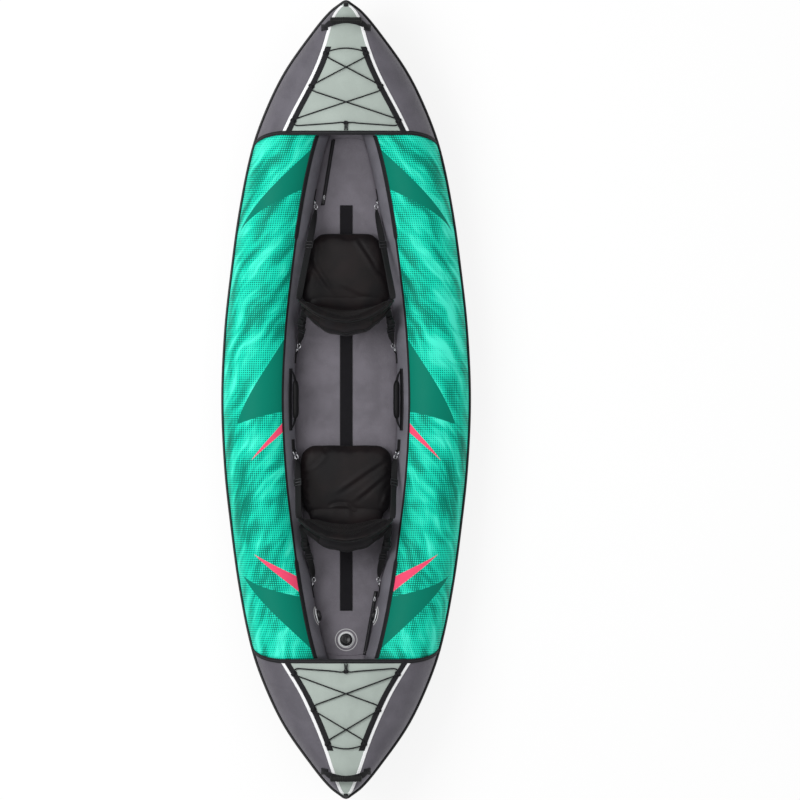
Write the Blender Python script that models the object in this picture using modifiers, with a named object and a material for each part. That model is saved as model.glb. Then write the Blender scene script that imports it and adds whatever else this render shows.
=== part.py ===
"""Two-seat inflatable recreational kayak.

Metres, +Y to the bow, +X to starboard, +Z up. The origin is on the ground, under the middle
of the hull. The hull is described by cross-sections at a row of stations along its length:
two tubes side by side, a floor between them, and a deck over each end. Every skin, chamber
and tape of the hull is drawn from those sections at its own offset from the tubes' surface.
"""

from bisect import bisect_right
from math import acos, asin, cos, pi, radians, sin, sqrt

import bmesh
import bpy
from mathutils import Matrix, Vector

# Overall size
LENGTH = 3.200
WIDTH = 1.005
TUBE_DIAMETER = 0.285
FLOOR_THICKNESS = 0.100

# Side view: a flat stretch amidships, and tubes that rise towards both ends
FLAT_HALF_LENGTH = 0.550
END_RISE = 0.158
NOSE_HEIGHT = 0.110
NOSE_TAPER_START = 1.000
BOTTOM_PANEL_DROP = 0.010
BOTTOM_DROP_REACH = 0.100
BOTTOM_FLAT_SHARE = 0.6

# Plan outline: share of the half length, share of the half width
OUTLINE = (
    (0.0, 1.0),
    (0.175, 0.976),
    (0.325, 0.924),
    (0.475, 0.857),
    (0.625, 0.758),
    (0.725, 0.645),
    (0.825, 0.486),
    (0.925, 0.257),
    (0.975, 0.120),
    (1.0, 0.014),
)
STATIONS_PER_HALF = 11
ROW_MARGIN = 0.004
HULL_SIDE_STEPS = 4
SLEEVE_STEPS = 8
LINING_STEPS = 4

# Skins and clearances
SKIN = 0.0012
BLADDER = 0.0010
PANEL_SKIN = 0.0008
TAPE = 0.0014
WEBBING = 0.0020
GAP = 0.0004
SEAM_GAP = 0.0004
NOSE_GAP = 0.0014
PIPING_DIAMETER = 0.010
BLADDER_SLACK = 0.0050
SKIN_TO_FLOOR = 0.0030
CHAMBER_SIDES = 10

# Decks
BOW_DECK_LENGTH = 0.540
STERN_DECK_LENGTH = 0.560
DECK_BAND_WIDTH = 0.016
DECK_BAND_SEAM_GAP = 0.0112
DECK_CROWN = 0.14
PANEL_TUBE_SHARE = 0.8
PANEL_INNER_LIMIT = -0.3
PANEL_TIP_MARGIN = 0.005
BOW_PANEL = ((0.0, 0.257), (0.25, 0.186), (0.50, 0.120), (0.76, 0.078), (1.0, 0.018))
STERN_PANEL = ((0.0, 0.265), (0.25, 0.184), (0.50, 0.119), (0.76, 0.076), (1.0, 0.018))

# Cockpit edge
BINDING_ANGLE = radians(132.0)
BINDING_WIDTH = 0.008
WIDE_BINDING_WIDTH = 0.020
WIDE_BINDING_START = 0.655
WIDE_BINDING_TAPER = 0.010
LINING_END_ANGLE = radians(204.0)

# Deck lacing
STRIP_WIDTH = 0.023
STRIP_INSET = 0.022
STRIP_ENDS = (0.040, 0.665)
CORD_DIAMETER = 0.0055
LOOP_BEND_RADIUS = 0.010
LOOP_BEND_ANGLE = radians(62.0)
CROSSING_HUMP = 0.0072
CROSSING_SPREAD = 0.4
CORD_TAIL_SPACING = 0.010
CORD_KNOT_SHARE = 0.058
END_ARCH_RISE = 0.022
LACING_PLACES = (0.105, 0.366, 0.615)
LOOP_WIDTH = 0.008
CORD_CLEARANCE = 0.0017

# End handles
END_HANDLE_FROM_TIP = 0.100
END_HANDLE_LEAN = 0.028
END_HANDLE_SPAN = 0.186
END_HANDLE_RISE = 0.032
END_HANDLE_FOOT_LIFT = 0.0017
END_HANDLE_TUBE_LIMIT = 0.98
END_GRIP_LENGTH = 0.128
END_GRIP_DIAMETER = 0.028
HANDLE_WEBBING_WIDTH = 0.025
HANDLE_STEPS = 7
HANDLE_END_WIDTH = 0.004

# Side handles
SIDE_HANDLE_ANGLE = radians(151.0)
SIDE_HANDLE_LENGTH = 0.240
SIDE_HANDLE_STANDOFF = 0.024
SIDE_HANDLE_END_LIFT = 0.0010
SIDE_GRIP_LENGTH = 0.160
SIDE_GRIP_DIAMETER = 0.026
SIDE_WEBBING_WIDTH = 0.018

# Floor
FLOOR_HALF_LENGTH = 1.120
FLOOR_SIDE_STEPS = 4
FLOOR_CORNER = 0.020
FLOOR_SHOULDER = 0.010
FLOOR_FLAT_SHARE = 0.6
GRIP_STRIP_WIDTH = 0.050
GRIP_STRIP_THICKNESS = 0.003
GRIP_STRIP_ENDS = (-0.848, 0.780)

# Valves
VALVE_FLANGE_DIAMETER = 0.058
VALVE_FLANGE_THICKNESS = 0.004
VALVE_FLANGE_BEVEL = 0.0016
VALVE_BARREL_DIAMETER = 0.036
VALVE_BARREL_DEPTH = 0.024
VALVE_BORE_DIAMETER = 0.026
VALVE_SEAT_BORE_DIAMETER = 0.014
VALVE_SEAT_THICKNESS = 0.004
VALVE_CAP_DIAMETER = 0.044
VALVE_CAP_HEIGHT = 0.012
VALVE_CAP_BEVEL = 0.0035
VALVE_PLUG_DEPTH = 0.006
VALVE_STEM_DIAMETER = 0.008
VALVE_STEM_STANDOUT = 0.009
VALVE_DISC_OVERLAP = 0.003
VALVE_DISC_THICKNESS = 0.002
VALVE_FIT = 0.0006
FLOOR_VALVE_Y = -0.965
SIDE_VALVE_Y = -0.868
SIDE_VALVE_ANGLE = radians(172.0)

# Floor zips: the start and the end of each, as a share of the floor's half width and a y
ZIP_WIDTH = 0.012
ZIP_THICKNESS = 0.0025
BOW_ZIP = ((-0.6745, 0.780), (-0.6403, 1.020))
STERN_ZIP = ((0.8505, -0.770), (0.8633, -1.010))
SLIDER_LENGTH = 0.018
SLIDER_WIDTH = 0.011
SLIDER_HEIGHT = 0.006
SLIDER_BEVEL = 0.001
SLIDER_REST = 0.0146
ZIP_PULL_LENGTH = 0.026
ZIP_PULL_DIAMETER = 0.004

# Seats
FRONT_SEAT_Y = 0.360
REAR_SEAT_Y = -0.490
PAN_LENGTH = 0.310
PAN_WIDTH = 0.420
PAN_SIDE_CLEARANCE = 0.003
PAN_THICKNESS = 0.050
PAN_CROWN = 0.012
PAN_CLEARANCE = 0.0005
PAN_EDGE_ROUND = 0.030
PAN_PINCH = 0.02
PAN_FRONT_DRAW = 0.12
BACK_HEIGHT = 0.250
BACK_TOP_WIDTH = 0.404
BACK_LOWER_WIDTH = 0.296
BACK_THICKNESS = 0.040
BACK_TOP_DROP = 0.10
BACK_EDGE_DRAW = 0.25
BACK_LEAN = {"front": 0.030, "rear": 0.060}
BACK_WRAP = 0.105
BACK_LOWER_WRAP = 0.018
BACK_GAP = 0.0025
BACK_FOOT_HEIGHT = 0.042
BACK_HINGE_HEIGHT = 0.046
POCKET_DEPTH = 0.055
POCKET_WIDTH = 0.290
POCKET_SAG = 0.7
FORE_STRAP_HEIGHT = 0.205
AFT_STRAP_HEIGHT = 0.190

# Seat straps and their rings
STRAP_WIDTH = 0.025
STRAP_THICKNESS = 0.002
STRAP_OUTSET = 0.004
RING_RADIUS = 0.013
RING_WIRE = 0.0045
RING_TILT = radians(20.0)
RING_FOLD = 0.0075
RING_FOLD_LENGTH = 0.0225
HOOK_RADIUS = 0.0085
HOOK_WIRE = 0.0045
WIRE_WELD = 0.0012
TAB_LENGTH = 0.045
BUCKLE_LENGTH = 0.030
BUCKLE_WIDTH = 0.032
BUCKLE_THICKNESS = 0.008
BUCKLE_BEVEL = 0.0015
BUCKLE_AFTER_RING = 0.38

# Strap rings of each seat: place along the boat and angle round the tube, fore and aft
SEAT_RINGS = {
    "front": ((0.800, radians(176.0)), (0.190, radians(172.0))),
    "rear": ((-0.205, radians(157.0)), (-0.750, radians(176.0))),
}

# Straps whose clip and tab are sewn on in one piece with them
SEWN_STRAPS = (("rear", "fore"),)

# Colours: red, green, blue, roughness, metallic
COLOURS = {
    "hull_black": (0.020, 0.020, 0.024, 0.60, 0.0),
    "deck_grey": (0.105, 0.100, 0.118, 0.80, 0.0),
    "panel_grey": (0.440, 0.505, 0.450, 0.80, 0.0),
    "print_green": (0.000, 0.500, 0.340, 0.70, 0.0),
    "lining_grey": (0.130, 0.125, 0.140, 0.80, 0.0),
    "bladder": (0.300, 0.320, 0.330, 0.50, 0.0),
    "floor_grey": (0.120, 0.115, 0.135, 0.80, 0.0),
    "webbing": (0.012, 0.012, 0.014, 0.85, 0.0),
    "piping": (0.010, 0.010, 0.011, 0.55, 0.0),
    "cord": (0.015, 0.015, 0.018, 0.75, 0.0),
    "grip": (0.020, 0.020, 0.022, 0.65, 0.0),
    "valve": (0.015, 0.015, 0.017, 0.40, 0.0),
    "valve_spring_steel": (0.550, 0.550, 0.560, 0.30, 1.0),
    "seat_fabric": (0.018, 0.017, 0.018, 0.80, 0.0),
    "hardware": (0.500, 0.500, 0.520, 0.30, 1.0),
}

PORT = -1
STARBOARD = 1
SIDES = ((PORT, "port"), (STARBOARD, "starboard"))
UP = Vector((0.0, 0.0, 1.0))

TUBE_RADIUS = TUBE_DIAMETER / 2
SKIN_HALF_LENGTH = LENGTH / 2 - PIPING_DIAMETER - NOSE_GAP
SKIN_HALF_WIDTH = WIDTH / 2 - PIPING_DIAMETER - SEAM_GAP
TUBE_BASE = BOTTOM_PANEL_DROP + TUBE_RADIUS
BOW_DECK_Y = LENGTH / 2 - BOW_DECK_LENGTH
STERN_DECK_Y = STERN_DECK_LENGTH - LENGTH / 2
LINING_START = BINDING_ANGLE + SEAM_GAP / TUBE_RADIUS
LINING_ANGLES = [
    LINING_START + (LINING_END_ANGLE - LINING_START) * step / LINING_STEPS
    for step in range(LINING_STEPS + 1)
]
STATIONS = [
    SKIN_HALF_LENGTH * sin(pi / 2 * step / STATIONS_PER_HALF)
    for step in range(-STATIONS_PER_HALF, STATIONS_PER_HALF + 1)
]


def clear_scene():
    """Remove every object that the file opened with."""
    for thing in list(bpy.data.objects):
        bpy.data.objects.remove(thing, do_unlink=True)


def make_collection(name):
    """A collection linked to the scene."""
    group = bpy.data.collections.new(name)
    bpy.context.scene.collection.children.link(group)
    return group


clear_scene()
PARTS = make_collection("recreational_kayak")
CUTTERS = make_collection("cutters")


def material(name):
    """The Principled material of one finish, made once."""
    found = bpy.data.materials.get(name)
    if found:
        return found
    red, green, blue, roughness, metallic = COLOURS[name]
    made = bpy.data.materials.new(name)
    made.use_nodes = True
    shader = made.node_tree.nodes["Principled BSDF"]
    shader.inputs["Base Color"].default_value = (red, green, blue, 1.0)
    shader.inputs["Roughness"].default_value = roughness
    shader.inputs["Metallic"].default_value = metallic
    made.diffuse_color = (red, green, blue, 1.0)
    return made


def pivot_at(thing, point):
    """Put a piece's origin on its joint's axis, and leave the piece where it is."""
    thing.data.transform(Matrix.Translation(-point))
    thing.location = point
    return thing


def place(thing, finish, group=None):
    """Put an object in a collection and give it its material."""
    for old in list(thing.users_collection):
        old.objects.unlink(thing)
    (group or PARTS).objects.link(thing)
    thing.data.materials.clear()
    thing.data.materials.append(material(finish))
    return thing


def object_from(bm, name, finish, group=None, smooth=30.0):
    """A new object that holds a bmesh."""
    mesh = bpy.data.meshes.new(name)
    bm.to_mesh(mesh)
    bm.free()
    mesh.shade_smooth()
    mesh.set_sharp_from_angle(angle=radians(smooth))
    return place(bpy.data.objects.new(name, mesh), finish, group)


def smooth_value(table, at):
    """Read a smooth curve through a table's points, flat where the table starts."""
    places = [row[0] for row in table]
    values = [row[1] for row in table]
    last = len(table) - 1
    at = min(max(at, places[0]), places[last])
    slopes = [0.0]
    for row in range(1, last):
        rise = values[row + 1] - values[row - 1]
        slopes.append(rise / (places[row + 1] - places[row - 1]))
    slopes.append((values[last] - values[last - 1]) / (places[last] - places[last - 1]))
    row = min(max(bisect_right(places, at) - 1, 0), last - 1)
    span = places[row + 1] - places[row]
    t = (at - places[row]) / span
    return (
        (2 * t**3 - 3 * t**2 + 1) * values[row]
        + (t**3 - 2 * t**2 + t) * span * slopes[row]
        + (3 * t**2 - 2 * t**3) * values[row + 1]
        + (t**3 - t**2) * span * slopes[row + 1]
    )


def half_breadth(y):
    """Half width of the hull's skins at y."""
    return SKIN_HALF_WIDTH * smooth_value(OUTLINE, abs(y) / SKIN_HALF_LENGTH)


def rise(y):
    """How far the boat's underside has lifted at y."""
    beyond = max(abs(y) - FLAT_HALF_LENGTH, 0.0)
    return END_RISE * (beyond / (SKIN_HALF_LENGTH - FLAT_HALF_LENGTH)) ** 2


def tube_section(y):
    """Centre x, centre z, half width and half height of a tube at y."""
    breadth = half_breadth(y)
    half_width = min(TUBE_RADIUS, (breadth - SEAM_GAP) / 2)
    taper = max(abs(y) - NOSE_TAPER_START, 0.0) / (SKIN_HALF_LENGTH - NOSE_TAPER_START)
    half_height = TUBE_RADIUS - (TUBE_RADIUS - NOSE_HEIGHT / 2) * taper**2
    return breadth - half_width, TUBE_BASE + rise(y), half_width, half_height


def between_stations(y, point):
    """A point of a surface that runs straight from station to station."""
    row = min(max(bisect_right(STATIONS, y) - 1, 0), len(STATIONS) - 2)
    start, end = STATIONS[row], STATIONS[row + 1]
    return point(start).lerp(point(end), (y - start) / (end - start))


def rows_between(start, end):
    """The two ends and each station well inside them."""
    inside = [y for y in STATIONS if start + ROW_MARGIN < y < end - ROW_MARGIN]
    return [start, *inside, end]


def tube_point(side, y, angle, offset=0.0):
    """A point of a tube's surface. The angle is 0 outboard, 90 on top, 180 inboard."""

    def at(station):
        x, z, half_width, half_height = tube_section(station)
        across = x + (half_width + offset) * cos(angle)
        return Vector((side * across, station, z + (half_height + offset) * sin(angle)))

    return between_stations(y, at)


def lining_point(side, y, angle, offset=0.0):
    """A point over the cockpit lining's flat facets, which run from angle to angle."""
    row = min(max(bisect_right(LINING_ANGLES, angle) - 1, 0), LINING_STEPS - 1)
    start, end = LINING_ANGLES[row], LINING_ANGLES[row + 1]
    share = (angle - start) / (end - start)
    return tube_point(side, y, start, offset).lerp(tube_point(side, y, end, offset), share)


def tube_inner_x(y, z):
    """How far from the centre line the tube's inner face is, at height z."""
    x, centre, half_width, half_height = tube_section(y)
    share = min(abs(z - centre) / half_height, 1.0)
    return x - half_width * sqrt(1 - share**2)


def bottom_z(y):
    """Height of the bottom panel's flat middle."""
    x, z, half_width, half_height = tube_section(y)
    return z - half_height - BOTTOM_PANEL_DROP * min(1.0, x / BOTTOM_DROP_REACH)


def floor_top(y):
    """Height of the floor's upper face."""
    return rise(y) + FLOOR_THICKNESS


def panel_half_width(y):
    """Half width of the deck panel at y."""
    if y > 0:
        share = (y - BOW_DECK_Y) / (SKIN_HALF_LENGTH - BOW_DECK_Y)
        return smooth_value(BOW_PANEL, share)
    share = (STERN_DECK_Y - y) / (SKIN_HALF_LENGTH + STERN_DECK_Y)
    return smooth_value(STERN_PANEL, share)


def deck_point(y, u, offset=0.0):
    """A point of a deck. u is 0 on the centre line, 1 at the panel's edge, 2 at the seam."""

    def at(station):
        x, z, half_width, half_height = tube_section(station)
        edge = min(panel_half_width(station), x + PANEL_TUBE_SHARE * half_width)
        edge_angle = acos(max(PANEL_INNER_LIMIT, (edge - x) / half_width))
        side = 1 if u >= 0 else -1
        share = abs(u)
        if share > 1:
            angle = edge_angle * (2 - share)
            across = x + (half_width + offset) * cos(angle)
            return Vector((side * across, station, z + (half_height + offset) * sin(angle)))
        across = edge * share + offset * cos(edge_angle) * share
        height = z + half_height * sin(edge_angle) + DECK_CROWN * edge * (1 - share**2)
        lift = offset * (sin(edge_angle) * share + 1 - share)
        return Vector((side * across, station, height + lift))

    return between_stations(y, at)


def sheet(name, rows, columns, point, top, bottom, finish):
    """A thin closed solid between two offsets of a surface, on a grid of rows and columns."""
    bm = bmesh.new()
    upper = [[bm.verts.new(point(row, column, top)) for column in columns] for row in rows]
    lower = [[bm.verts.new(point(row, column, bottom)) for column in columns] for row in rows]
    last_row, last_column = len(rows) - 1, len(columns) - 1
    for row in range(last_row):
        for column in range(last_column):
            near, far = (row, column), (row + 1, column + 1)
            corners = (near, (row, column + 1), far, (row + 1, column))
            bm.faces.new([upper[i][j] for i, j in corners])
            bm.faces.new([lower[i][j] for i, j in (near, corners[3], far, corners[1])])
    for row in range(last_row):
        for column in (0, last_column):
            bm.faces.new(
                [upper[row][column], upper[row + 1][column], lower[row + 1][column], lower[row][column]]
            )
    for column in range(last_column):
        for row in (0, last_row):
            bm.faces.new(
                [upper[row][column], upper[row][column + 1], lower[row][column + 1], lower[row][column]]
            )
    bmesh.ops.recalc_face_normals(bm, faces=bm.faces)
    bmesh.ops.triangulate(bm, faces=bm.faces, quad_method="FIXED")
    return object_from(bm, name, finish)


def add_loft(bm, rings, inward=False):
    """Faces between closed rings of points, with a flat cap on each end."""
    loops = [[bm.verts.new(point) for point in ring] for ring in rings]
    count = len(loops[0])
    faces = []
    for first, second in zip(loops, loops[1:]):
        for step in range(count):
            after = (step + 1) % count
            faces.append(bm.faces.new([first[step], first[after], second[after], second[step]]))
    faces.append(bm.faces.new(list(reversed(loops[0]))))
    faces.append(bm.faces.new(loops[-1]))
    bmesh.ops.recalc_face_normals(bm, faces=faces)
    if inward:
        bmesh.ops.reverse_faces(bm, faces=faces)
    return faces


def hollow_loft(name, outer, inner, finish):
    """A closed bag: an outer loft and an inner loft that faces its hollow."""
    bm = bmesh.new()
    add_loft(bm, outer)
    add_loft(bm, inner, inward=True)
    bmesh.ops.triangulate(bm, faces=bm.faces, quad_method="FIXED")
    return object_from(bm, name, finish)


def as_cutter(thing):
    """Keep an object as a guide that isn't part of the model."""
    for old in list(thing.users_collection):
        old.objects.unlink(thing)
    CUTTERS.objects.link(thing)
    thing.hide_render = True
    thing.display_type = "WIRE"
    return thing


def combine(thing, other, operation):
    """Cut or join one object with another by a Boolean modifier."""
    modifier = thing.modifiers.new(f"{operation.lower()} {other.name}", "BOOLEAN")
    modifier.operation = operation
    modifier.solver = "EXACT"
    modifier.object = as_cutter(other)
    return thing


def rod_between(name, start, end, diameter, finish, sides=16):
    """A cylinder from one point to another."""
    run = end - start
    bpy.ops.mesh.primitive_cylinder_add(
        vertices=sides, radius=diameter / 2, depth=run.length, location=(start + end) / 2
    )
    rod = bpy.context.object
    rod.name = name
    rod.rotation_euler = run.to_track_quat("Z", "Y").to_euler()
    return place(rod, finish)


def ring_at(name, centre, normal, radius, wire, finish, around=12, sides=5):
    """A round wire ring."""
    bpy.ops.mesh.primitive_torus_add(
        major_radius=radius,
        minor_radius=wire / 2,
        major_segments=around,
        minor_segments=sides,
        location=centre,
    )
    ring = bpy.context.object
    ring.name = name
    ring.rotation_euler = normal.to_track_quat("Z", "Y").to_euler()
    return place(ring, finish)


def block_at(name, centre, forward, up, size, bevel, finish):
    """A bevelled box. Its length runs along forward, and its height along up."""
    bpy.ops.mesh.primitive_cube_add(size=1.0)
    block = bpy.context.object
    block.name = name
    across = forward.cross(up).normalized()
    turn = Matrix((across, forward.normalized(), up.normalized())).transposed()
    block.data.transform(Matrix.Diagonal((size[0], size[1], size[2], 1.0)))
    block.matrix_world = Matrix.Translation(centre) @ turn.to_4x4()
    edge = block.modifiers.new("rounded edges", "BEVEL")
    edge.width = bevel
    edge.segments = 1
    return place(block, finish)


def cord(name, points, diameter, finish, closed=False, resolution=2):
    """A round cord along a list of points."""
    curve = bpy.data.curves.new(name, "CURVE")
    curve.dimensions = "3D"
    curve.bevel_depth = diameter / 2
    curve.bevel_resolution = resolution
    curve.use_fill_caps = not closed
    spline = curve.splines.new("POLY")
    spline.points.add(len(points) - 1)
    for slot, point in zip(spline.points, points):
        slot.co = (*point, 1.0)
    spline.use_cyclic_u = closed
    return place(bpy.data.objects.new(name, curve), finish)


def ribbon(name, points, normals, widths, thickness, finish):
    """A flat strap along a list of points, square to the normals, with a width at each point."""
    last = len(points) - 1

    def point(row, share, offset):
        run = (points[min(row + 1, last)] - points[max(row - 1, 0)]).normalized()
        up = (normals[row] - run * normals[row].dot(run)).normalized()
        return points[row] + run.cross(up) * (widths[row] * share) + up * offset

    return sheet(name, range(last + 1), (-0.5, 0.5), point, thickness, 0.0, finish)


def handle_widths(width):
    """A handle strap's widths: drawn in to its sewn ends, so that it can swing on them."""
    drawn_in = [HANDLE_END_WIDTH, (HANDLE_END_WIDTH + width) / 2]
    return [*drawn_in, *[width] * (2 * HANDLE_STEPS - 3), *reversed(drawn_in)]


def angles(start, end, steps):
    """Evenly spaced angles, both ends included."""
    return [start + (end - start) * step / steps for step in range(steps + 1)]


def seam_angle(y):
    """The angle at which a skin stops short of the outer seam."""
    return asin(SEAM_GAP / tube_section(y)[3])


def build_hull_bottom():
    """The panel between the tubes that the boat rests on."""

    def point(y, v, offset):
        def at(station):
            x, z, half_width, half_height = tube_section(station)
            edge = z - half_height
            ramp = max(abs(v) - BOTTOM_FLAT_SHARE, 0.0) / (1 - BOTTOM_FLAT_SHARE)
            height = bottom_z(station) + (edge - bottom_z(station)) * ramp
            return Vector((v * (x - SEAM_GAP), station, height - offset))

        return between_stations(y, at)

    columns = (-1.0, -BOTTOM_FLAT_SHARE, 0.0, BOTTOM_FLAT_SHARE, 1.0)
    rows = rows_between(-SKIN_HALF_LENGTH, SKIN_HALF_LENGTH)
    sheet("hull_bottom", rows, columns, point, 0.0, -SKIN, "hull_black")


def build_hull_sides():
    """The lower outer quarter of each tube's cover."""
    rows = rows_between(-SKIN_HALF_LENGTH, SKIN_HALF_LENGTH)
    columns = angles(0.0, 1.0, HULL_SIDE_STEPS)
    for side, word in SIDES:

        def point(y, share, offset, side=side):
            start = seam_angle(y)
            return tube_point(side, y, -start - (pi / 2 - start) * share, offset)

        sheet(f"hull_side_{word}", rows, columns, point, 0.0, -SKIN, "hull_black")


def build_sleeves():
    """The printed covers over the tubes, from the outer seam to the cockpit's edge."""
    rows = rows_between(STERN_DECK_Y + SEAM_GAP, BOW_DECK_Y - SEAM_GAP)
    columns = angles(0.0, 1.0, SLEEVE_STEPS)
    for side, word in SIDES:

        def point(y, share, offset, side=side):
            start = seam_angle(y)
            return tube_point(side, y, start + (BINDING_ANGLE - start) * share, offset)

        sheet(f"side_sleeve_{word}", rows, columns, point, 0.0, -SKIN, "print_green")


def build_linings():
    """The plain inner faces of the cockpit."""
    rows = rows_between(STERN_DECK_Y + SEAM_GAP, BOW_DECK_Y - SEAM_GAP)
    for side, word in SIDES:

        def point(y, angle, offset, side=side):
            return tube_point(side, y, angle, offset)

        name = f"inner_lining_{word}"
        lining = sheet(name, rows, LINING_ANGLES, point, 0.0, -SKIN, "lining_grey")
        combine(lining, side_valve_hole(side, word, "lining"), "DIFFERENCE")


def build_side_chambers():
    """The air bladders inside the tubes."""
    reach = STATIONS[-3]
    rows = [y for y in STATIONS if -reach <= y <= reach]
    around = [2 * pi * step / CHAMBER_SIDES for step in range(CHAMBER_SIDES)]
    outer_offset = -SKIN - BLADDER_SLACK
    for side, word in SIDES:
        outer = [[tube_point(side, y, angle, outer_offset) for angle in around] for y in rows]
        inner = []
        for y in [rows[0] + BLADDER, *rows[1:-1], rows[-1] - BLADDER]:
            inner.append([tube_point(side, y, a, outer_offset - BLADDER) for a in around])
        chamber = hollow_loft(f"side_chamber_{word}", outer, inner, "bladder")
        combine(chamber, side_valve_hole(side, word, "chamber"), "DIFFERENCE")


def floor_ring(y, wall):
    """One cross-section of the floor chamber, drawn in by a wall."""

    def half(station):
        top = floor_top(station) - wall
        low = bottom_z(station) + SKIN + GAP + wall
        inset = SKIN_TO_FLOOR + wall
        x, centre, half_width, half_height = tube_section(station)
        width = tube_inner_x(station, top) - inset
        flat = min(FLOOR_FLAT_SHARE * x, width)
        points = [(0.0, top), (width / 2, top), (width - min(FLOOR_CORNER, width / 4), top)]
        first = asin(min((centre - top + FLOOR_SHOULDER) / half_height, 1.0))
        last = asin(min((centre - low - FLOOR_SHOULDER) / half_height, 1.0))
        for angle in angles(first, last, FLOOR_SIDE_STEPS):
            points.append((x - half_width * cos(angle) - inset, centre - half_height * sin(angle)))
        points += [(flat, low), (0.0, low)]
        return points

    def ring_point(step, side):
        def at(station):
            x, z = half(station)[step]
            return Vector((side * x, station, z))

        return between_stations(y, at)

    last = FLOOR_SIDE_STEPS + 5
    starboard = [ring_point(step, STARBOARD) for step in range(last + 1)]
    port = [ring_point(step, PORT) for step in range(last - 1, 0, -1)]
    return starboard + port


def build_floor_chamber():
    """The floor's air bladder in its cover."""
    rows = rows_between(-FLOOR_HALF_LENGTH, FLOOR_HALF_LENGTH)
    inner_rows = [rows[0] + BLADDER, *rows[1:-1], rows[-1] - BLADDER]
    outer = [floor_ring(y, 0.0) for y in rows]
    inner = [floor_ring(y, BLADDER + SKIN) for y in inner_rows]
    chamber = hollow_loft("floor_chamber", outer, inner, "floor_grey")
    top, axis = floor_valve_frame()
    reach = axis * VALVE_BARREL_DEPTH
    width = VALVE_BARREL_DIAMETER + 2 * VALVE_FIT
    hole = rod_between("floor valve hole", top - reach, top + reach, width, "valve")
    combine(chamber, hole, "DIFFERENCE")


def build_decks():
    """The dark deck covers, and the lighter panels sewn over them."""
    across = [share / 4 for share in range(-8, 9)]
    ends = (
        ("bow", BOW_DECK_Y, SKIN_HALF_LENGTH),
        ("stern", -SKIN_HALF_LENGTH, STERN_DECK_Y),
    )
    for word, start, end in ends:
        rows = rows_between(start, end)

        def cover_point(y, u, offset):
            side = 1 if u >= 0 else -1
            reach = 2 - seam_angle(y) / (pi / 2)
            return deck_point(y, side * min(abs(u), reach), offset)

        sheet(f"{word}_deck_cover", rows, across, cover_point, 0.0, -SKIN, "deck_grey")
        columns = [u for u in across if abs(u) <= 1]
        top = GAP + PANEL_SKIN
        inner = [y for y in rows if abs(y) < SKIN_HALF_LENGTH - PANEL_TIP_MARGIN]
        sheet(f"{word}_deck_panel", inner, columns, deck_point, top, GAP, "panel_grey")
        edge = BOW_DECK_Y if word == "bow" else STERN_DECK_Y
        inboard = 1 if word == "bow" else -1
        band_rows = sorted((edge, edge + inboard * DECK_BAND_WIDTH))
        reach = 2 - DECK_BAND_SEAM_GAP / (TUBE_RADIUS * pi / 2)
        columns = [-reach, *across[1:-1], reach]
        lift = top + GAP
        sheet(f"{word}_deck_band", band_rows, columns, deck_point, lift + TAPE, lift, "piping")


def build_piping():
    """The welt round the whole outer seam."""
    reach = PIPING_DIAMETER / 2 + NOSE_GAP / 2
    starboard = []
    for row, y in enumerate(STATIONS):
        before = STATIONS[max(row - 1, 0)]
        after = STATIONS[min(row + 1, len(STATIONS) - 1)]
        slope = (half_breadth(after) - half_breadth(before)) / (after - before)
        normal = Vector((1.0, -slope, 0.0)).normalized()
        starboard.append(tube_point(STARBOARD, y, 0.0) + normal * reach)
    port = [Vector((-p.x, p.y, p.z)) for p in reversed(starboard)]
    height = starboard[-1].z
    tip = LENGTH / 2 - PIPING_DIAMETER / 2
    bow, stern = Vector((0.0, tip, height)), Vector((0.0, -tip, height))
    path = [*starboard, bow, *port, stern]
    cord("gunwale_piping", path, PIPING_DIAMETER, "piping", closed=True, resolution=1)


def build_bindings():
    """The black tapes along the cockpit's two long edges, wider towards the decks."""
    margin = DECK_BAND_WIDTH / 4
    start, end = STERN_DECK_Y + margin, BOW_DECK_Y - margin
    inner = WIDE_BINDING_START - WIDE_BINDING_TAPER
    change = [-WIDE_BINDING_START, -inner, inner, WIDE_BINDING_START]
    rows = sorted({*rows_between(start, end), *change})
    lift = GAP * 1.5
    for side, word in SIDES:

        def point(y, share, offset, side=side):
            wide = abs(y) >= WIDE_BINDING_START
            width = WIDE_BINDING_WIDTH if wide else BINDING_WIDTH
            angle = BINDING_ANGLE + share * width / TUBE_DIAMETER
            return tube_point(side, y, angle, offset)

        name = f"cockpit_binding_{word}"
        sheet(name, rows, (-1.0, 1.0), point, lift + TAPE, lift, "webbing")


def deck_y(end, share):
    """Place along a deck: 0 at the cockpit's edge, 1 at the tip."""
    if end > 0:
        return BOW_DECK_Y + (SKIN_HALF_LENGTH - BOW_DECK_Y) * share
    return STERN_DECK_Y - (SKIN_HALF_LENGTH + STERN_DECK_Y) * share


def strip_u(y, inset):
    """The deck's u at a distance in from the panel's edge."""
    edge = panel_half_width(y)
    return max(edge - inset, 0.0) / edge


def lacing_anchor(end, side, share, height):
    """A point over the middle of a lacing strip."""
    y = deck_y(end, share)
    return deck_point(y, side * strip_u(y, STRIP_INSET), height)


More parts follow.
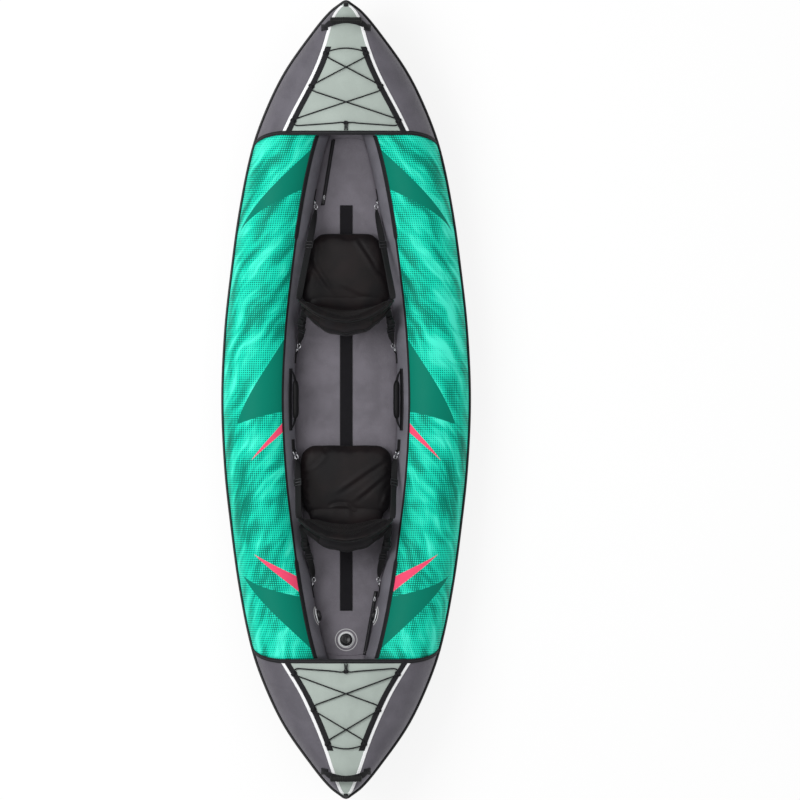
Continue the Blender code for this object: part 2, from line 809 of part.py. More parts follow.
def build_lacing_strips():
    """The webbing strips on the decks, each with three loops for the cord."""
    strip_bottom = GAP * 2 + PANEL_SKIN
    strip_top = strip_bottom + WEBBING
    shares = angles(STRIP_ENDS[0], STRIP_ENDS[1], 8)
    for end, word in ((1, "bow"), (-1, "stern")):
        for side, hand in SIDES:

            def point(share, across, offset, end=end, side=side):
                y = deck_y(end, share)
                return deck_point(y, side * strip_u(y, STRIP_INSET + across), offset)

            half = STRIP_WIDTH / 2
            name = f"{word}_lacing_strip_{hand}"
            columns = (-half, 0.0, half)
            strip = sheet(name, shares, columns, point, strip_top, strip_bottom, "webbing")
            for number, share in enumerate(LACING_PLACES):
                loop = lacing_loop(f"{name} loop {number}", end, side, share, strip_top)
                combine(strip, loop, "UNION")


def strip_frame(end, side, share):
    """Unit vectors at a loop: along the strip to the tip, towards the centre, and up."""
    step = 0.02
    along = lacing_anchor(end, side, share + step, 0.0) - lacing_anchor(end, side, share - step, 0.0)
    along.normalize()
    y = deck_y(end, share)
    here = strip_u(y, STRIP_INSET)
    inward = deck_point(y, side * (here - step)) - deck_point(y, side * here)
    inward = (inward - along * inward.dot(along)).normalized()
    up = inward.cross(along)
    if up.z < 0:
        up.negate()
    return along, inward, up


def lacing_loop(name, end, side, share, height):
    """A low arch of webbing that the cord runs through."""
    along, inward, up = strip_frame(end, side, share)
    foot = lacing_anchor(end, side, share, height)
    inner_radius = CORD_DIAMETER / 2 + CORD_CLEARANCE + GAP
    middle_lift = CORD_DIAMETER / 2 + CORD_CLEARANCE
    middle = foot + up * middle_lift
    radius = inner_radius + WEBBING / 2
    base = middle_lift + WEBBING / 2
    points, normals = [middle - inward * radius - up * base], [-inward]
    for angle in angles(pi, 0.0, 4):
        spoke = inward * cos(angle) + up * sin(angle)
        points.append(middle + spoke * (radius - WEBBING / 2))
        normals.append(spoke)
    points[0] = points[1] - up * base
    points.append(points[-1] - up * base)
    normals.append(inward)
    return ribbon(name, points, normals, [LOOP_WIDTH] * len(points), WEBBING, "webbing")


def cord_height(extra=0.0):
    """Offset of the lacing cord's middle above the deck cover."""
    strip_top = GAP * 2 + PANEL_SKIN + WEBBING
    return strip_top + CORD_CLEARANCE + CORD_DIAMETER / 2 + extra


def deck_run(end, start, finish, over):
    """Points of a cord over the deck between two places given as x and y, both left out."""
    steps = 5
    points = []
    for step in range(1, steps):
        t = step / steps
        x, y = start[0] + (finish[0] - start[0]) * t, start[1] + (finish[1] - start[1]) * t
        hump = CROSSING_HUMP * over * max(0.0, 1 - abs(t - 0.5) / CROSSING_SPREAD)
        edge = panel_half_width(y)
        points.append(deck_point(y, x / edge, cord_height(hump)))
    return points


def bend_round(end, side, share, enters_from_tip):
    """Points of the cord where it bends through a loop, and where it enters and leaves."""
    along, inward, up = strip_frame(end, side, share)
    apex = lacing_anchor(end, side, share, cord_height())
    centre = apex + inward * LOOP_BEND_RADIUS
    points = []
    for angle in angles(-LOOP_BEND_ANGLE, LOOP_BEND_ANGLE, 4):
        spoke = -inward * cos(angle) + along * sin(angle)
        points.append(centre + spoke * LOOP_BEND_RADIUS)
    if enters_from_tip:
        points.reverse()
    return points


def build_bungees():
    """One cord on each deck, laced to and fro through the strips' loops."""
    low, middle, high = LACING_PLACES
    for end, word in ((1, "bow"), (-1, "stern")):
        first, second = PORT, STARBOARD
        stops = [
            (first, low, False, 0),
            (second, middle, False, 0),
            (first, high, False, 0),
            (second, high, True, 1),
            (first, middle, True, 1),
            (second, low, True, 0),
        ]
        tail_x = CORD_TAIL_SPACING / 2
        edge_y = deck_y(end, 0.0) + end * (DECK_BAND_WIDTH + GAP * 3)
        knot_y = deck_y(end, CORD_KNOT_SHARE)
        route = [deck_point(edge_y, -tail_x / panel_half_width(edge_y), cord_height())]
        route.append(deck_point(knot_y, -tail_x / panel_half_width(knot_y), cord_height()))
        for side, share, from_tip, over in stops:
            bend = bend_round(end, side, share, from_tip)
            start = (route[-1].x, route[-1].y)
            finish = (bend[0].x, bend[0].y)
            if share == high and side == second:
                route += end_arch(end, start, finish)
            else:
                route += deck_run(end, start, finish, over)
            route += bend
        knot = deck_point(knot_y, tail_x / panel_half_width(knot_y), cord_height())
        route += deck_run(end, (route[-1].x, route[-1].y), (knot.x, knot.y), 0)
        route.append(knot)
        route.append(deck_point(edge_y, tail_x / panel_half_width(edge_y), cord_height()))
        cord(f"{word}_bungee", route, CORD_DIAMETER, "cord", resolution=1)


def end_arch(end, start, finish):
    """The cord's bow between the two loops nearest the tip."""
    points = []
    for step in range(1, 6):
        t = step / 6
        x = start[0] + (finish[0] - start[0]) * t
        y = start[1] + end * END_ARCH_RISE * sin(pi * t)
        points.append(deck_point(y, x / panel_half_width(y), cord_height()))
    return points


def build_end_handles():
    """Webbing loops across the bow and stern, with a moulded grip in the middle."""
    for end, word in ((1, "bow"), (-1, "stern")):
        y = end * (SKIN_HALF_LENGTH - END_HANDLE_FROM_TIP)
        lean = Vector((0.0, end * END_HANDLE_LEAN, 0.0))
        foot = deck_handle_foot(y, END_HANDLE_SPAN / 2)
        top = deck_point(y, 0.0).z + END_HANDLE_RISE
        points, normals = [], []
        for step in range(-HANDLE_STEPS, HANDLE_STEPS + 1):
            share = step / HANDLE_STEPS
            height = foot.z + (top - foot.z) * (1 - abs(share) ** 3)
            across = END_HANDLE_SPAN / 2 * share
            points.append(Vector((across, y, height)) + lean * (1 - share**2))
        last = len(points) - 1
        for step in range(last + 1):
            run = (points[min(step + 1, last)] - points[max(step - 1, 0)]).normalized()
            normals.append(run.cross(Vector((0.0, 1.0, 0.0))))
        name = f"{word}_handle"
        strap = ribbon(name, points, normals, handle_widths(HANDLE_WEBBING_WIDTH), WEBBING, "grip")
        pivot_at(strap, Vector((0.0, y, foot.z + WEBBING / 2)))
        middle = points[HANDLE_STEPS] + Vector((0.0, 0.0, WEBBING / 2))
        half = Vector((END_GRIP_LENGTH / 2, 0.0, 0.0))
        grip = rod_between(f"{name} grip", middle - half, middle + half, END_GRIP_DIAMETER, "grip", 12)
        combine(strap, grip, "UNION")


def deck_handle_foot(y, x):
    """Where a handle's end stands just over the deck."""
    edge = panel_half_width(y)
    if x <= edge:
        return deck_point(y, x / edge, END_HANDLE_FOOT_LIFT)
    centre, z, half_width, half_height = tube_section(y)
    share = min((x - centre) / half_width, END_HANDLE_TUBE_LIMIT)
    return tube_point(STARBOARD, y, acos(share), END_HANDLE_FOOT_LIFT)


def build_side_handles():
    """Padded carry loops amidships, on the inner faces of the tubes."""
    for side, word in SIDES:
        half = SIDE_HANDLE_LENGTH / 2
        points, normals = [], []
        for step in range(-HANDLE_STEPS, HANDLE_STEPS + 1):
            share = step / HANDLE_STEPS
            lift = SIDE_HANDLE_END_LIFT + SIDE_HANDLE_STANDOFF * (1 - share**4)
            points.append(lining_point(side, half * share, SIDE_HANDLE_ANGLE, lift))
            centre = tube_point(side, half * share, SIDE_HANDLE_ANGLE, -TUBE_RADIUS)
            normals.append((points[-1] - centre).normalized())
        name = f"side_handle_{word}"
        strap = ribbon(name, points, normals, handle_widths(SIDE_WEBBING_WIDTH), WEBBING, "grip")
        end = points[0] + normals[0] * (WEBBING / 2)
        pivot_at(strap, Vector((end.x, 0.0, end.z)))
        middle = points[HANDLE_STEPS] + normals[HANDLE_STEPS] * (WEBBING / 2)
        reach = Vector((0.0, SIDE_GRIP_LENGTH / 2, 0.0))
        grip = rod_between(f"{name} grip", middle - reach, middle + reach, SIDE_GRIP_DIAMETER, "grip", 12)
        combine(strap, grip, "UNION")


def floor_point(x, y, height):
    """A point over the floor's flat top."""

    def at(station):
        return Vector((x, station, floor_top(station) + height))

    return between_stations(y, at)


def build_grip_strip():
    """The hook-and-loop strip down the floor's middle."""
    rows = rows_between(*GRIP_STRIP_ENDS)

    def point(y, x, offset):
        return floor_point(x, y, offset)

    half = GRIP_STRIP_WIDTH / 2
    top = GAP + GRIP_STRIP_THICKNESS
    sheet("floor_grip_strip", rows, (-half, 0.0, half), point, top, GAP, "webbing")


def turned(name, profile, base, axis, finish, steps=16, closed=False):
    """A turned piece: a profile of radius and height, spun round an axis by a Screw."""
    bm = bmesh.new()
    corners = [bm.verts.new((radius, 0.0, height)) for radius, height in profile]
    for first, second in zip(corners, corners[1:]):
        bm.edges.new((first, second))
    if closed:
        bm.edges.new((corners[-1], corners[0]))
    mesh = bpy.data.meshes.new(name)
    bm.to_mesh(mesh)
    bm.free()
    piece = place(bpy.data.objects.new(name, mesh), finish)
    spin = piece.modifiers.new("turned", "SCREW")
    spin.steps = steps
    spin.render_steps = steps
    spin.use_merge_vertices = True
    spin.merge_threshold = 0.00005
    piece.location = base
    piece.rotation_euler = axis.to_track_quat("Z", "Y").to_euler()
    return piece


def floor_valve_frame():
    """Where the floor valve's axis meets the floor's top, and the axis."""
    step = VALVE_FLANGE_DIAMETER / 2
    ahead = floor_point(0.0, FLOOR_VALVE_Y + step, 0.0)
    behind = floor_point(0.0, FLOOR_VALVE_Y - step, 0.0)
    axis = Vector((1.0, 0.0, 0.0)).cross(ahead - behind).normalized()
    return floor_point(0.0, FLOOR_VALVE_Y, 0.0), axis


def side_valve_frame(side):
    """Where a side valve's axis meets the tube's inner face, and the axis."""
    step = VALVE_FLANGE_DIAMETER / 2
    base = tube_point(side, SIDE_VALVE_Y, SIDE_VALVE_ANGLE)
    ahead = tube_point(side, SIDE_VALVE_Y + step, SIDE_VALVE_ANGLE)
    behind = tube_point(side, SIDE_VALVE_Y - step, SIDE_VALVE_ANGLE)
    spoke = Vector((side * cos(SIDE_VALVE_ANGLE), 0.0, sin(SIDE_VALVE_ANGLE)))
    run = (ahead - behind).normalized()
    return base, (spoke - run * spoke.dot(run)).normalized()


def side_valve_hole(side, word, use):
    """The cutter for a side valve's hole."""
    base, axis = side_valve_frame(side)
    reach = axis * VALVE_BARREL_DEPTH
    width = VALVE_BARREL_DIAMETER + 2 * VALVE_FIT
    return rod_between(f"side valve hole {word} {use}", base - reach, base + reach, width, "valve")


def valve_body(name, base, axis):
    """A flange with a barrel, a bore and a seat across the bore."""
    flange, barrel = VALVE_FLANGE_DIAMETER / 2, VALVE_BARREL_DIAMETER / 2
    bore, seat = VALVE_BORE_DIAMETER / 2, VALVE_SEAT_BORE_DIAMETER / 2
    depth, top = -VALVE_BARREL_DEPTH, VALVE_FLANGE_THICKNESS
    profile = (
        (bore, top),
        (flange - VALVE_FLANGE_BEVEL, top),
        (flange, top - VALVE_FLANGE_BEVEL),
        (flange, 0.0),
        (barrel, 0.0),
        (barrel, depth),
        (seat, depth),
        (seat, depth + VALVE_SEAT_THICKNESS),
        (bore, depth + VALVE_SEAT_THICKNESS),
    )
    return turned(name, profile, base, axis, "valve", closed=True)


def valve_cap(name, base, axis):
    """A shallow screw cap with a plug that enters the bore."""
    cap, plug = VALVE_CAP_DIAMETER / 2, VALVE_BORE_DIAMETER / 2 - VALVE_FIT
    under = VALVE_FLANGE_THICKNESS + VALVE_FIT
    top = under + VALVE_CAP_HEIGHT
    profile = (
        (0.0, top),
        (cap - VALVE_CAP_BEVEL, top),
        (cap, top - VALVE_CAP_BEVEL),
        (cap, under),
        (plug, under),
        (plug, under - VALVE_PLUG_DEPTH),
        (0.0, under - VALVE_PLUG_DEPTH),
    )
    return turned(name, profile, base, axis, "valve")


def valve_stem(name, base, axis):
    """The sprung stem: a push button above the seat, and a closing disc below it."""
    stem = VALVE_STEM_DIAMETER / 2
    depth = -VALVE_BARREL_DEPTH
    disc_top = depth - VALVE_FIT
    top = depth + VALVE_SEAT_THICKNESS + VALVE_STEM_STANDOUT
    disc = VALVE_SEAT_BORE_DIAMETER / 2 + VALVE_DISC_OVERLAP
    disc_bottom = disc_top - VALVE_DISC_THICKNESS
    profile = (
        (0.0, top),
        (stem, top),
        (stem, disc_top),
        (disc, disc_top),
        (disc, disc_bottom),
        (0.0, disc_bottom),
    )
    return turned(name, profile, base, axis, "valve_spring_steel", steps=12)


def build_valves():
    """The floor valve, and one valve in each side chamber."""
    base, axis = floor_valve_frame()
    base = base + axis * GAP * 2
    valve_body("floor_valve_body", base, axis)
    valve_cap("floor_valve_cap", base, axis)
    valve_stem("floor_valve_stem", base, axis)
    for side, word in SIDES:
        base, axis = side_valve_frame(side)
        base = base + axis * GAP * 2
        valve_body(f"side_valve_body_{word}", base, axis)
        valve_cap(f"side_valve_cap_{word}", base, axis)


def build_zips():
    """The floor cover's two zips with their sliders."""
    for word, ends in (("bow", BOW_ZIP), ("stern", STERN_ZIP)):
        start, end = [zip_end(*where) for where in ends]
        low, high = sorted((start[1], end[1]))

        def path_x(y, start=start, end=end):
            return start[0] + (end[0] - start[0]) * (y - start[1]) / (end[1] - start[1])

        def point(y, across, offset, path_x=path_x):
            return floor_point(path_x(y) + across, y, offset)

        rows = rows_between(low, high)
        half = ZIP_WIDTH / 2
        top = GAP + ZIP_THICKNESS
        sheet(f"floor_zip_{word}", rows, (-half, 0.0, half), point, top, GAP, "webbing")
        run = zip_run(start, end)
        lift = top + GAP + SLIDER_HEIGHT / 2
        rest = start[1] + SLIDER_REST * (1 if end[1] > start[1] else -1)
        centre = floor_point(path_x(rest), rest, lift)
        size = (SLIDER_WIDTH, SLIDER_LENGTH, SLIDER_HEIGHT)
        slider = block_at(
            f"floor_zip_slider_{word}", centre, run, UP, size, SLIDER_BEVEL, "hardware"
        )
        pull_start = centre + UP * (SLIDER_HEIGHT / 5)
        pull_end = pull_start + run * ZIP_PULL_LENGTH
        pull = rod_between(f"zip pull {word}", pull_start, pull_end, ZIP_PULL_DIAMETER, "hardware", 6)
        combine(slider, pull, "UNION")


def zip_end(share, y):
    """Where a zip's end is, from its share of the floor's half width and its y."""
    return share * (tube_inner_x(y, floor_top(y)) - SKIN_TO_FLOOR), y


def zip_run(start, end):
    """Unit vector along a zip, from its start to its end."""
    first, last = floor_point(*start, 0.0), floor_point(*end, 0.0)
    return (last - first).normalized()


def cushion(name, rows, columns, point, finish, levels=1):
    """A soft closed form: a coarse cage, smoothed by subdivision."""
    cage = sheet(name, rows, columns, point, 1.0, -1.0, finish)
    cage.data.shade_smooth()
    bm = bmesh.new()
    bm.from_mesh(cage.data)
    bmesh.ops.join_triangles(
        bm, faces=bm.faces, angle_face_threshold=pi, angle_shape_threshold=pi
    )
    bm.to_mesh(cage.data)
    bm.free()
    soft = cage.modifiers.new("soft", "SUBSURF")
    soft.levels = levels
    soft.render_levels = levels
    return cage


def seat_floor(y):
    """Height that a seat cushion stands at, over the grip strip."""
    return floor_top(y) + GAP + GRIP_STRIP_THICKNESS + PAN_CLEARANCE


def seat_base(hinge_y):
    """Height of a seat's underside."""
    return max(seat_floor(hinge_y), seat_floor(hinge_y + PAN_LENGTH - PAN_EDGE_ROUND))


def back_curve(u, v, lean):
    """How far forward of the hinge line the backrest's middle layer is."""
    wrap = BACK_LOWER_WRAP + (BACK_WRAP - BACK_LOWER_WRAP) * v
    return wrap * u * u - BACK_GAP - BACK_THICKNESS / 2 - lean * v


def pocket_bulge(u, v):
    """How far the storage pocket stands out behind the backrest."""
    across = max(0.0, 1 - (u * BACK_TOP_WIDTH / POCKET_WIDTH) ** 2)
    return POCKET_DEPTH * across * sin(pi * v**POCKET_SAG)


def build_pan(word, hinge_y):
    """A seat cushion: crowned, drawn in at its sides, and as wide as the tubes let it be."""
    base = seat_base(hinge_y)

    def pan_point(v, u, layer):
        wrap = BACK_LOWER_WRAP * u * u * (1 - v)
        y = hinge_y + BACK_GAP + wrap + (PAN_LENGTH - BACK_GAP - wrap) * v
        room = tube_inner_x(y, TUBE_BASE + rise(y)) - PAN_SIDE_CLEARANCE
        pinch = 1 - PAN_PINCH * (1 - abs(2 * v - 1))
        corner = 1 - PAN_FRONT_DRAW * v**4
        x = u * min(PAN_WIDTH / 2, room) * pinch * corner
        crown = PAN_CROWN * (1 - u * u) * (1 - (2 * v - 1) ** 2)
        return Vector((x, y, base + (PAN_THICKNESS + crown if layer > 0 else 0.0)))

    shares = (0.0, 0.12, 0.5, 0.88, 1.0)
    sides = (-1.0, -0.8, 0.0, 0.8, 1.0)
    cushion(f"{word}_seat_pan", shares, sides, pan_point, "seat_fabric")


def build_back(word, hinge_y):
    """A backrest with a pocket behind it, which wraps round the sitter and leans back."""
    foot = seat_base(hinge_y) + BACK_FOOT_HEIGHT
    lean = BACK_LEAN[word]

    def back_point(v, u, layer):
        half = (BACK_LOWER_WIDTH + (BACK_TOP_WIDTH - BACK_LOWER_WIDTH) * v) / 2
        y = hinge_y + back_curve(u, v, lean)
        z = foot + BACK_HEIGHT * v * (1 - BACK_TOP_DROP * u * u)
        step = 0.01
        bend = (back_curve(u + step, v, lean) - back_curve(u - step, v, lean)) / (2 * step)
        normal = Vector((-bend, half, 0.0)).normalized()
        offset = layer * BACK_THICKNESS / 2 * (1 - BACK_EDGE_DRAW * abs(u) ** 3)
        if layer < 0:
            offset -= pocket_bulge(u, v)
        return Vector((u * half, y, z)) + normal * offset

    rows = (0.0, 0.12, 0.5, 0.88, 1.0)
    across = (-1.0, -0.85, -0.45, 0.0, 0.45, 0.85, 1.0)
    back = cushion(f"{word}_seat_back", rows, across, back_point, "seat_fabric")
    return pivot_at(back, Vector((0.0, hinge_y, seat_base(hinge_y) + BACK_HINGE_HEIGHT)))


def nearest_on(thing, target):
    """The point of a finished object's surface that is nearest to a target, and its normal."""
    shown = thing.evaluated_get(bpy.context.evaluated_depsgraph_get())
    found, point, normal, face = shown.closest_point_on_mesh(target - thing.location)
    return point + thing.location, normal


def strap_end(back, start, target, side):
    """Where a strap's end stands just clear of the backrest's surface."""
    bpy.context.view_layer.update()
    surface, outward = nearest_on(back, target)
    clearance = GAP
    while clearance < STRAP_WIDTH:
        end = surface + outward * clearance
        points, normals = strap_path(start, end, side)
        run = (points[-1] - points[-2]).normalized()
        up = (normals[-1] - run * normals[-1].dot(run)).normalized()
        half = run.cross(up) * (STRAP_WIDTH / 2)
        room = []
        for corner in (end, end + half, end - half):
            for layer in (corner, corner + up * STRAP_THICKNESS):
                point, normal = nearest_on(back, layer)
                room.append((layer - point).dot(normal))
        if min(room) >= GAP:
            break
        clearance += GAP
    return end


def ring_frame(side, y, angle, towards):
    """A strap ring's middle, the way its strap leaves, and the face's normal."""
    lift = GAP * 2 + WEBBING
    half = STRAP_WIDTH / 2 / TUBE_RADIUS
    base = lining_point(side, y, angle, lift)
    ahead = lining_point(side, y + towards * TAB_LENGTH, angle, lift)
    flat_run = (ahead - base).normalized()
    across = lining_point(side, y, angle + half, lift) - lining_point(side, y, angle - half, lift)
    spoke = flat_run.cross(across).normalized()
    if spoke.x * side > 0:
        spoke.negate()
    run = flat_run * cos(RING_TILT) + spoke * sin(RING_TILT)
    return base, run, spoke * cos(RING_TILT) - flat_run * sin(RING_TILT)


def build_ring(name, side, y, angle, towards):
    """A D-ring held in the folded end of a webbing tab that is sewn to the lining."""
    base, run, normal = ring_frame(side, y, angle, towards)
    half = STRAP_WIDTH / 2 / TUBE_RADIUS

    def point(place_y, share, offset):
        return lining_point(side, place_y, angle + share * half, offset)

    far = y - towards * TAB_LENGTH
    rows = rows_between(*sorted((far, y)))
    tab = sheet(name, rows, (-1.0, 0.0, 1.0), point, GAP * 2 + WEBBING, GAP * 2, "webbing")
    fold_at = base - run * (RING_FOLD / 2) + normal * (RING_FOLD / 2 - WEBBING / 4)
    across = run.cross(normal) * (RING_FOLD_LENGTH / 2)
    fold = rod_between(f"{name} fold", fold_at - across, fold_at + across, RING_FOLD, "webbing", 8)
    combine(tab, fold, "UNION")
    centre = fold_at + run * RING_RADIUS
    ring = ring_at(f"{name} wire", centre, normal, RING_RADIUS, RING_WIRE, "hardware")
    combine(tab, ring, "UNION")
    return tab, centre + run * RING_RADIUS, run, normal


def strap_path(start, end, side, steps=6):
    """A strap's points from a ring to the backrest, kept clear of the tube."""
    points, normals = [], []
    for step in range(steps + 1):
        point = start.lerp(end, step / steps)
        x, z, half_width, half_height = tube_section(point.y)
        spoke = Vector((point.x - side * x, 0.0, point.z - z))
        clear = half_width + GAP * 4 + WEBBING
        if spoke.length < clear:
            spoke = spoke.normalized() * clear
            point = Vector((side * x + spoke.x, point.y, z + spoke.z))
        points.append(point)
        normals.append(spoke.normalized())
    return points, normals


def build_strap(name, hook_at, run, normal, back, target, side):
    """A strap with a snap hook in its ring and a sliding buckle on its run."""
    eye = hook_at + run * HOOK_RADIUS
    points, normals = strap_path(eye, strap_end(back, eye, target, side), side)
    widths = [STRAP_WIDTH] * len(points)
    strap = ribbon(name, points, normals, widths, STRAP_THICKNESS, "webbing")
    hook_axis = run.cross(normal)
    hook = ring_at(f"{name} hook", hook_at, hook_axis, HOOK_RADIUS, HOOK_WIRE, "hardware", 10)
    combine(strap, hook, "UNION")
    first = max(1, int(BUCKLE_AFTER_RING * (len(points) - 1)))
    middle = (points[first] + points[first + 1]) / 2
    forward = (points[first + 1] - points[first]).normalized()
    up = normals[first] - forward * normals[first].dot(forward)
    up.normalize()
    size = (BUCKLE_WIDTH, BUCKLE_LENGTH, BUCKLE_THICKNESS)
    middle = middle + up * (BUCKLE_THICKNESS / 2 - STRAP_THICKNESS / 4)
    buckle = block_at(f"{name} buckle", middle, forward, up, size, BUCKLE_BEVEL, "hardware")
    combine(strap, buckle, "UNION")
    return strap


def build_seat(word, hinge_y):
    """A seat: its cushion, its backrest, and the four straps and rings that hold it."""
    build_pan(word, hinge_y)
    back = build_back(word, hinge_y)
    foot = seat_base(hinge_y) + BACK_FOOT_HEIGHT
    fore, aft = SEAT_RINGS[word]
    for side, hand in SIDES:
        beside = side * (BACK_TOP_WIDTH / 2 + STRAP_OUTSET)
        for place_word, (y, angle), towards in (("fore", fore, -1), ("aft", aft, 1)):
            height = FORE_STRAP_HEIGHT if place_word == "fore" else AFT_STRAP_HEIGHT
            reach = BACK_WRAP if place_word == "fore" else -BACK_THICKNESS
            target = Vector((beside, hinge_y + reach, foot + height))
            tag = f"{place_word}_{hand}"
            sewn = (word, place_word) in SEWN_STRAPS
            hook_gap = -WIRE_WELD if sewn else GAP
            ring_name = f"{word}_seat_ring_{tag}"
            ring, ring_end, run, normal = build_ring(ring_name, side, y, angle, towards)
            hook_reach = HOOK_RADIUS - (RING_WIRE + HOOK_WIRE) / 2 - hook_gap
            strap = build_strap(
                f"{word}_seat_strap_{tag}", ring_end + run * hook_reach, run, normal, back, target, side
            )
            if sewn:
                combine(strap, ring, "UNION")


def main():
    """Build the whole kayak."""
    build_hull_bottom()
    build_hull_sides()
    build_sleeves()
    build_linings()
    build_side_chambers()
    build_floor_chamber()
    build_decks()
    build_piping()
    build_bindings()
    build_lacing_strips()
    build_bungees()
    build_end_handles()
    build_side_handles()
    build_grip_strip()
    build_valves()
    build_zips()
    for word, hinge_y in (("front", FRONT_SEAT_Y), ("rear", REAR_SEAT_Y)):
        build_seat(word, hinge_y)


main()
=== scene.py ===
"""The looks of a two-seat inflatable kayak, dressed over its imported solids."""

import logging
from bisect import bisect_right
from collections.abc import Callable, Sequence
from dataclasses import dataclass
from enum import Enum
from functools import partialmethod
from itertools import accumulate
from math import acos, asin, atan2, copysign, cos, hypot, pi, radians, sin, sqrt

import bmesh
import bpy
from mathutils import Matrix, Vector, noise
from mathutils.bvhtree import BVHTree


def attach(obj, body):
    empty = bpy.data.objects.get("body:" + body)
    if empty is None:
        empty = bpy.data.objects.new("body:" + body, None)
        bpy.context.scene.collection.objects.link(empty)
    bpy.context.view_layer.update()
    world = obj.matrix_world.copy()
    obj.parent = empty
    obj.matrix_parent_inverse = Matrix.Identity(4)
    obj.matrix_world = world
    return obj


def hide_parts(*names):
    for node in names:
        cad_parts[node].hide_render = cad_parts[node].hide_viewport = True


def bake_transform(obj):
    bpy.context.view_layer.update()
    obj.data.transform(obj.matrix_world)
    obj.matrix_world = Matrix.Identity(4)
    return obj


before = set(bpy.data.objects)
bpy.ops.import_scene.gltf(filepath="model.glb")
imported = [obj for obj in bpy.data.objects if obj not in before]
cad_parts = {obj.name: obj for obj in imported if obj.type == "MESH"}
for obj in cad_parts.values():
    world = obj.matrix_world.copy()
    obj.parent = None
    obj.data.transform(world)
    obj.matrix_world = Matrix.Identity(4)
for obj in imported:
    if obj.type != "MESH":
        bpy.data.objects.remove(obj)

log = logging.getLogger("kayak")

UP = Vector((0.0, 0.0, 1.0))
Colour = tuple[float, float, float]
Pair = tuple[float, float]
Line = list[Vector]
Bend = tuple[Vector, Vector, Vector]
Surface = Callable[[float, float], Vector]
Width = Callable[[float], float]
Shape = bmesh.types.BMesh
Thing = bpy.types.Object
Node = bpy.types.Node
Socket = bpy.types.NodeSocket


class Side(Enum):
    """The boat's two sides."""

    PORT = -1
    STARBOARD = 1

    @property
    def word(self) -> str:
        """The side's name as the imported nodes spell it."""
        return self.name.lower()


class End(Enum):
    """The boat's two ends."""

    BOW = 1
    STERN = -1

    @property
    def word(self) -> str:
        """The end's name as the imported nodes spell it."""
        return self.name.lower()


# -- small sums


def eased(value: float) -> float:
    """A share from 0 to 1, eased at both ends."""
    share = min(max(value, 0.0), 1.0)
    return share * share * (3.0 - 2.0 * share)


def curve_through(table: Sequence[Pair], at: float, level_start: bool = True) -> float:
    """Read a smooth curve through a table's points.

    Args:
        table: Places and values, with rising places.
        at: The place to read.
        level_start: Whether the curve leaves its first point level.

    Returns:
        The curve's value there.
    """
    places, values = zip(*table)
    last = len(table) - 1
    at = min(max(at, places[0]), places[last])

    def slope(first: int, second: int) -> float:
        """The mean slope from one row to another."""
        return (values[second] - values[first]) / (places[second] - places[first])

    inner = (slope(row - 1, row + 1) for row in range(1, last))
    slopes = [0.0 if level_start else slope(0, 1), *inner, slope(last - 1, last)]
    row = min(max(bisect_right(places, at) - 1, 0), last - 1)
    span = places[row + 1] - places[row]
    t = (at - places[row]) / span
    return (
        (2 * t**3 - 3 * t**2 + 1) * values[row]
        + (t**3 - 2 * t**2 + t) * span * slopes[row]
        + (3 * t**2 - 2 * t**3) * values[row + 1]
        + (t**3 - t**2) * span * slopes[row + 1]
    )


def steps_of(path: Sequence[Vector]) -> list[float]:
    """The lengths of a path's stretches."""
    return [(after - before).length for before, after in zip(path, path[1:])]


def run_at(path: Sequence[Vector], row: int) -> Vector:
    """The way that an open path runs at one of its points."""
    return (path[min(row + 1, len(path) - 1)] - path[max(row - 1, 0)]).normalized()


def square_to(run: Vector, up: Vector) -> Vector:
    """The direction nearest to up that is square to a run."""
    return (up - run * up.dot(run)).normalized()


def smooth_path(points: Sequence[Vector], steps: int, closed: bool = False) -> Line:
    """Run a smooth line through points.

    Args:
        points: The points that the line passes.
        steps: How many pieces each stretch is cut into.
        closed: Whether the line comes back to its start.

    Returns:
        The line's points, the last one left out where it is closed.
    """
    count = len(points)
    line = []
    for row in range(count if closed else count - 1):
        rows = (row - 1, row, row + 1, row + 2)
        before, start, end, after = (
            points[at % count if closed else min(max(at, 0), count - 1)] for at in rows
        )
        for step in range(steps):
            t = step / steps
            bow = (2 * before - 5 * start + 4 * end - after) * t * t
            line.append(
                0.5 * (2 * start + (end - before) * t + bow + (3 * start - before - 3 * end + after) * t**3)
            )
    if not closed:
        line.append(points[-1].copy())
    return line


def eased_path(path: Sequence[Vector], spacing: float, passes: int) -> Line:
    """A path with even steps, whose sharp turns are eased.

    Args:
        path: The path.
        spacing: Metres from one point to the next.
        passes: How often each point moves to the middle of its neighbours.

    Returns:
        The new path, with the same ends.
    """
    along = [0.0, *accumulate(steps_of(path))]
    count = round(along[-1] / spacing)
    even, row = [], 0
    for step in range(count + 1):
        at = along[-1] * step / count
        while row < len(path) - 2 and along[row + 1] < at:
            row += 1
        share = (at - along[row]) / max(along[row + 1] - along[row], 1e-9)
        even.append(path[row].lerp(path[row + 1], min(share, 1.0)))
    for _ in range(passes):
        inner = [before / 4 + here / 2 + after / 4 for before, here, after in zip(even, even[1:], even[2:])]
        even = [even[0], *inner, even[-1]]
    return even


def ripple(point: Vector, scale: float, seed: float = 0.0) -> float:
    """Smooth unevenness from -1 to 1 at a place, for waves about as long as scale."""
    return noise.noise(point / scale + Vector((seed, seed * 1.7, -seed)))


def basis(origin: Vector, forward: Vector, up: Vector) -> Matrix:
    """The place of a fitting: its own Y runs forward and its own Z is near up.

    Args:
        origin: Where the fitting sits.
        forward: Which way its Y runs.
        up: Which way its Z is near.

    Returns:
        The fitting's matrix.
    """
    along = forward.normalized()
    across = along.cross(up).normalized()
    return Matrix.Translation(origin) @ Matrix((across, along, across.cross(along))).transposed().to_4x4()


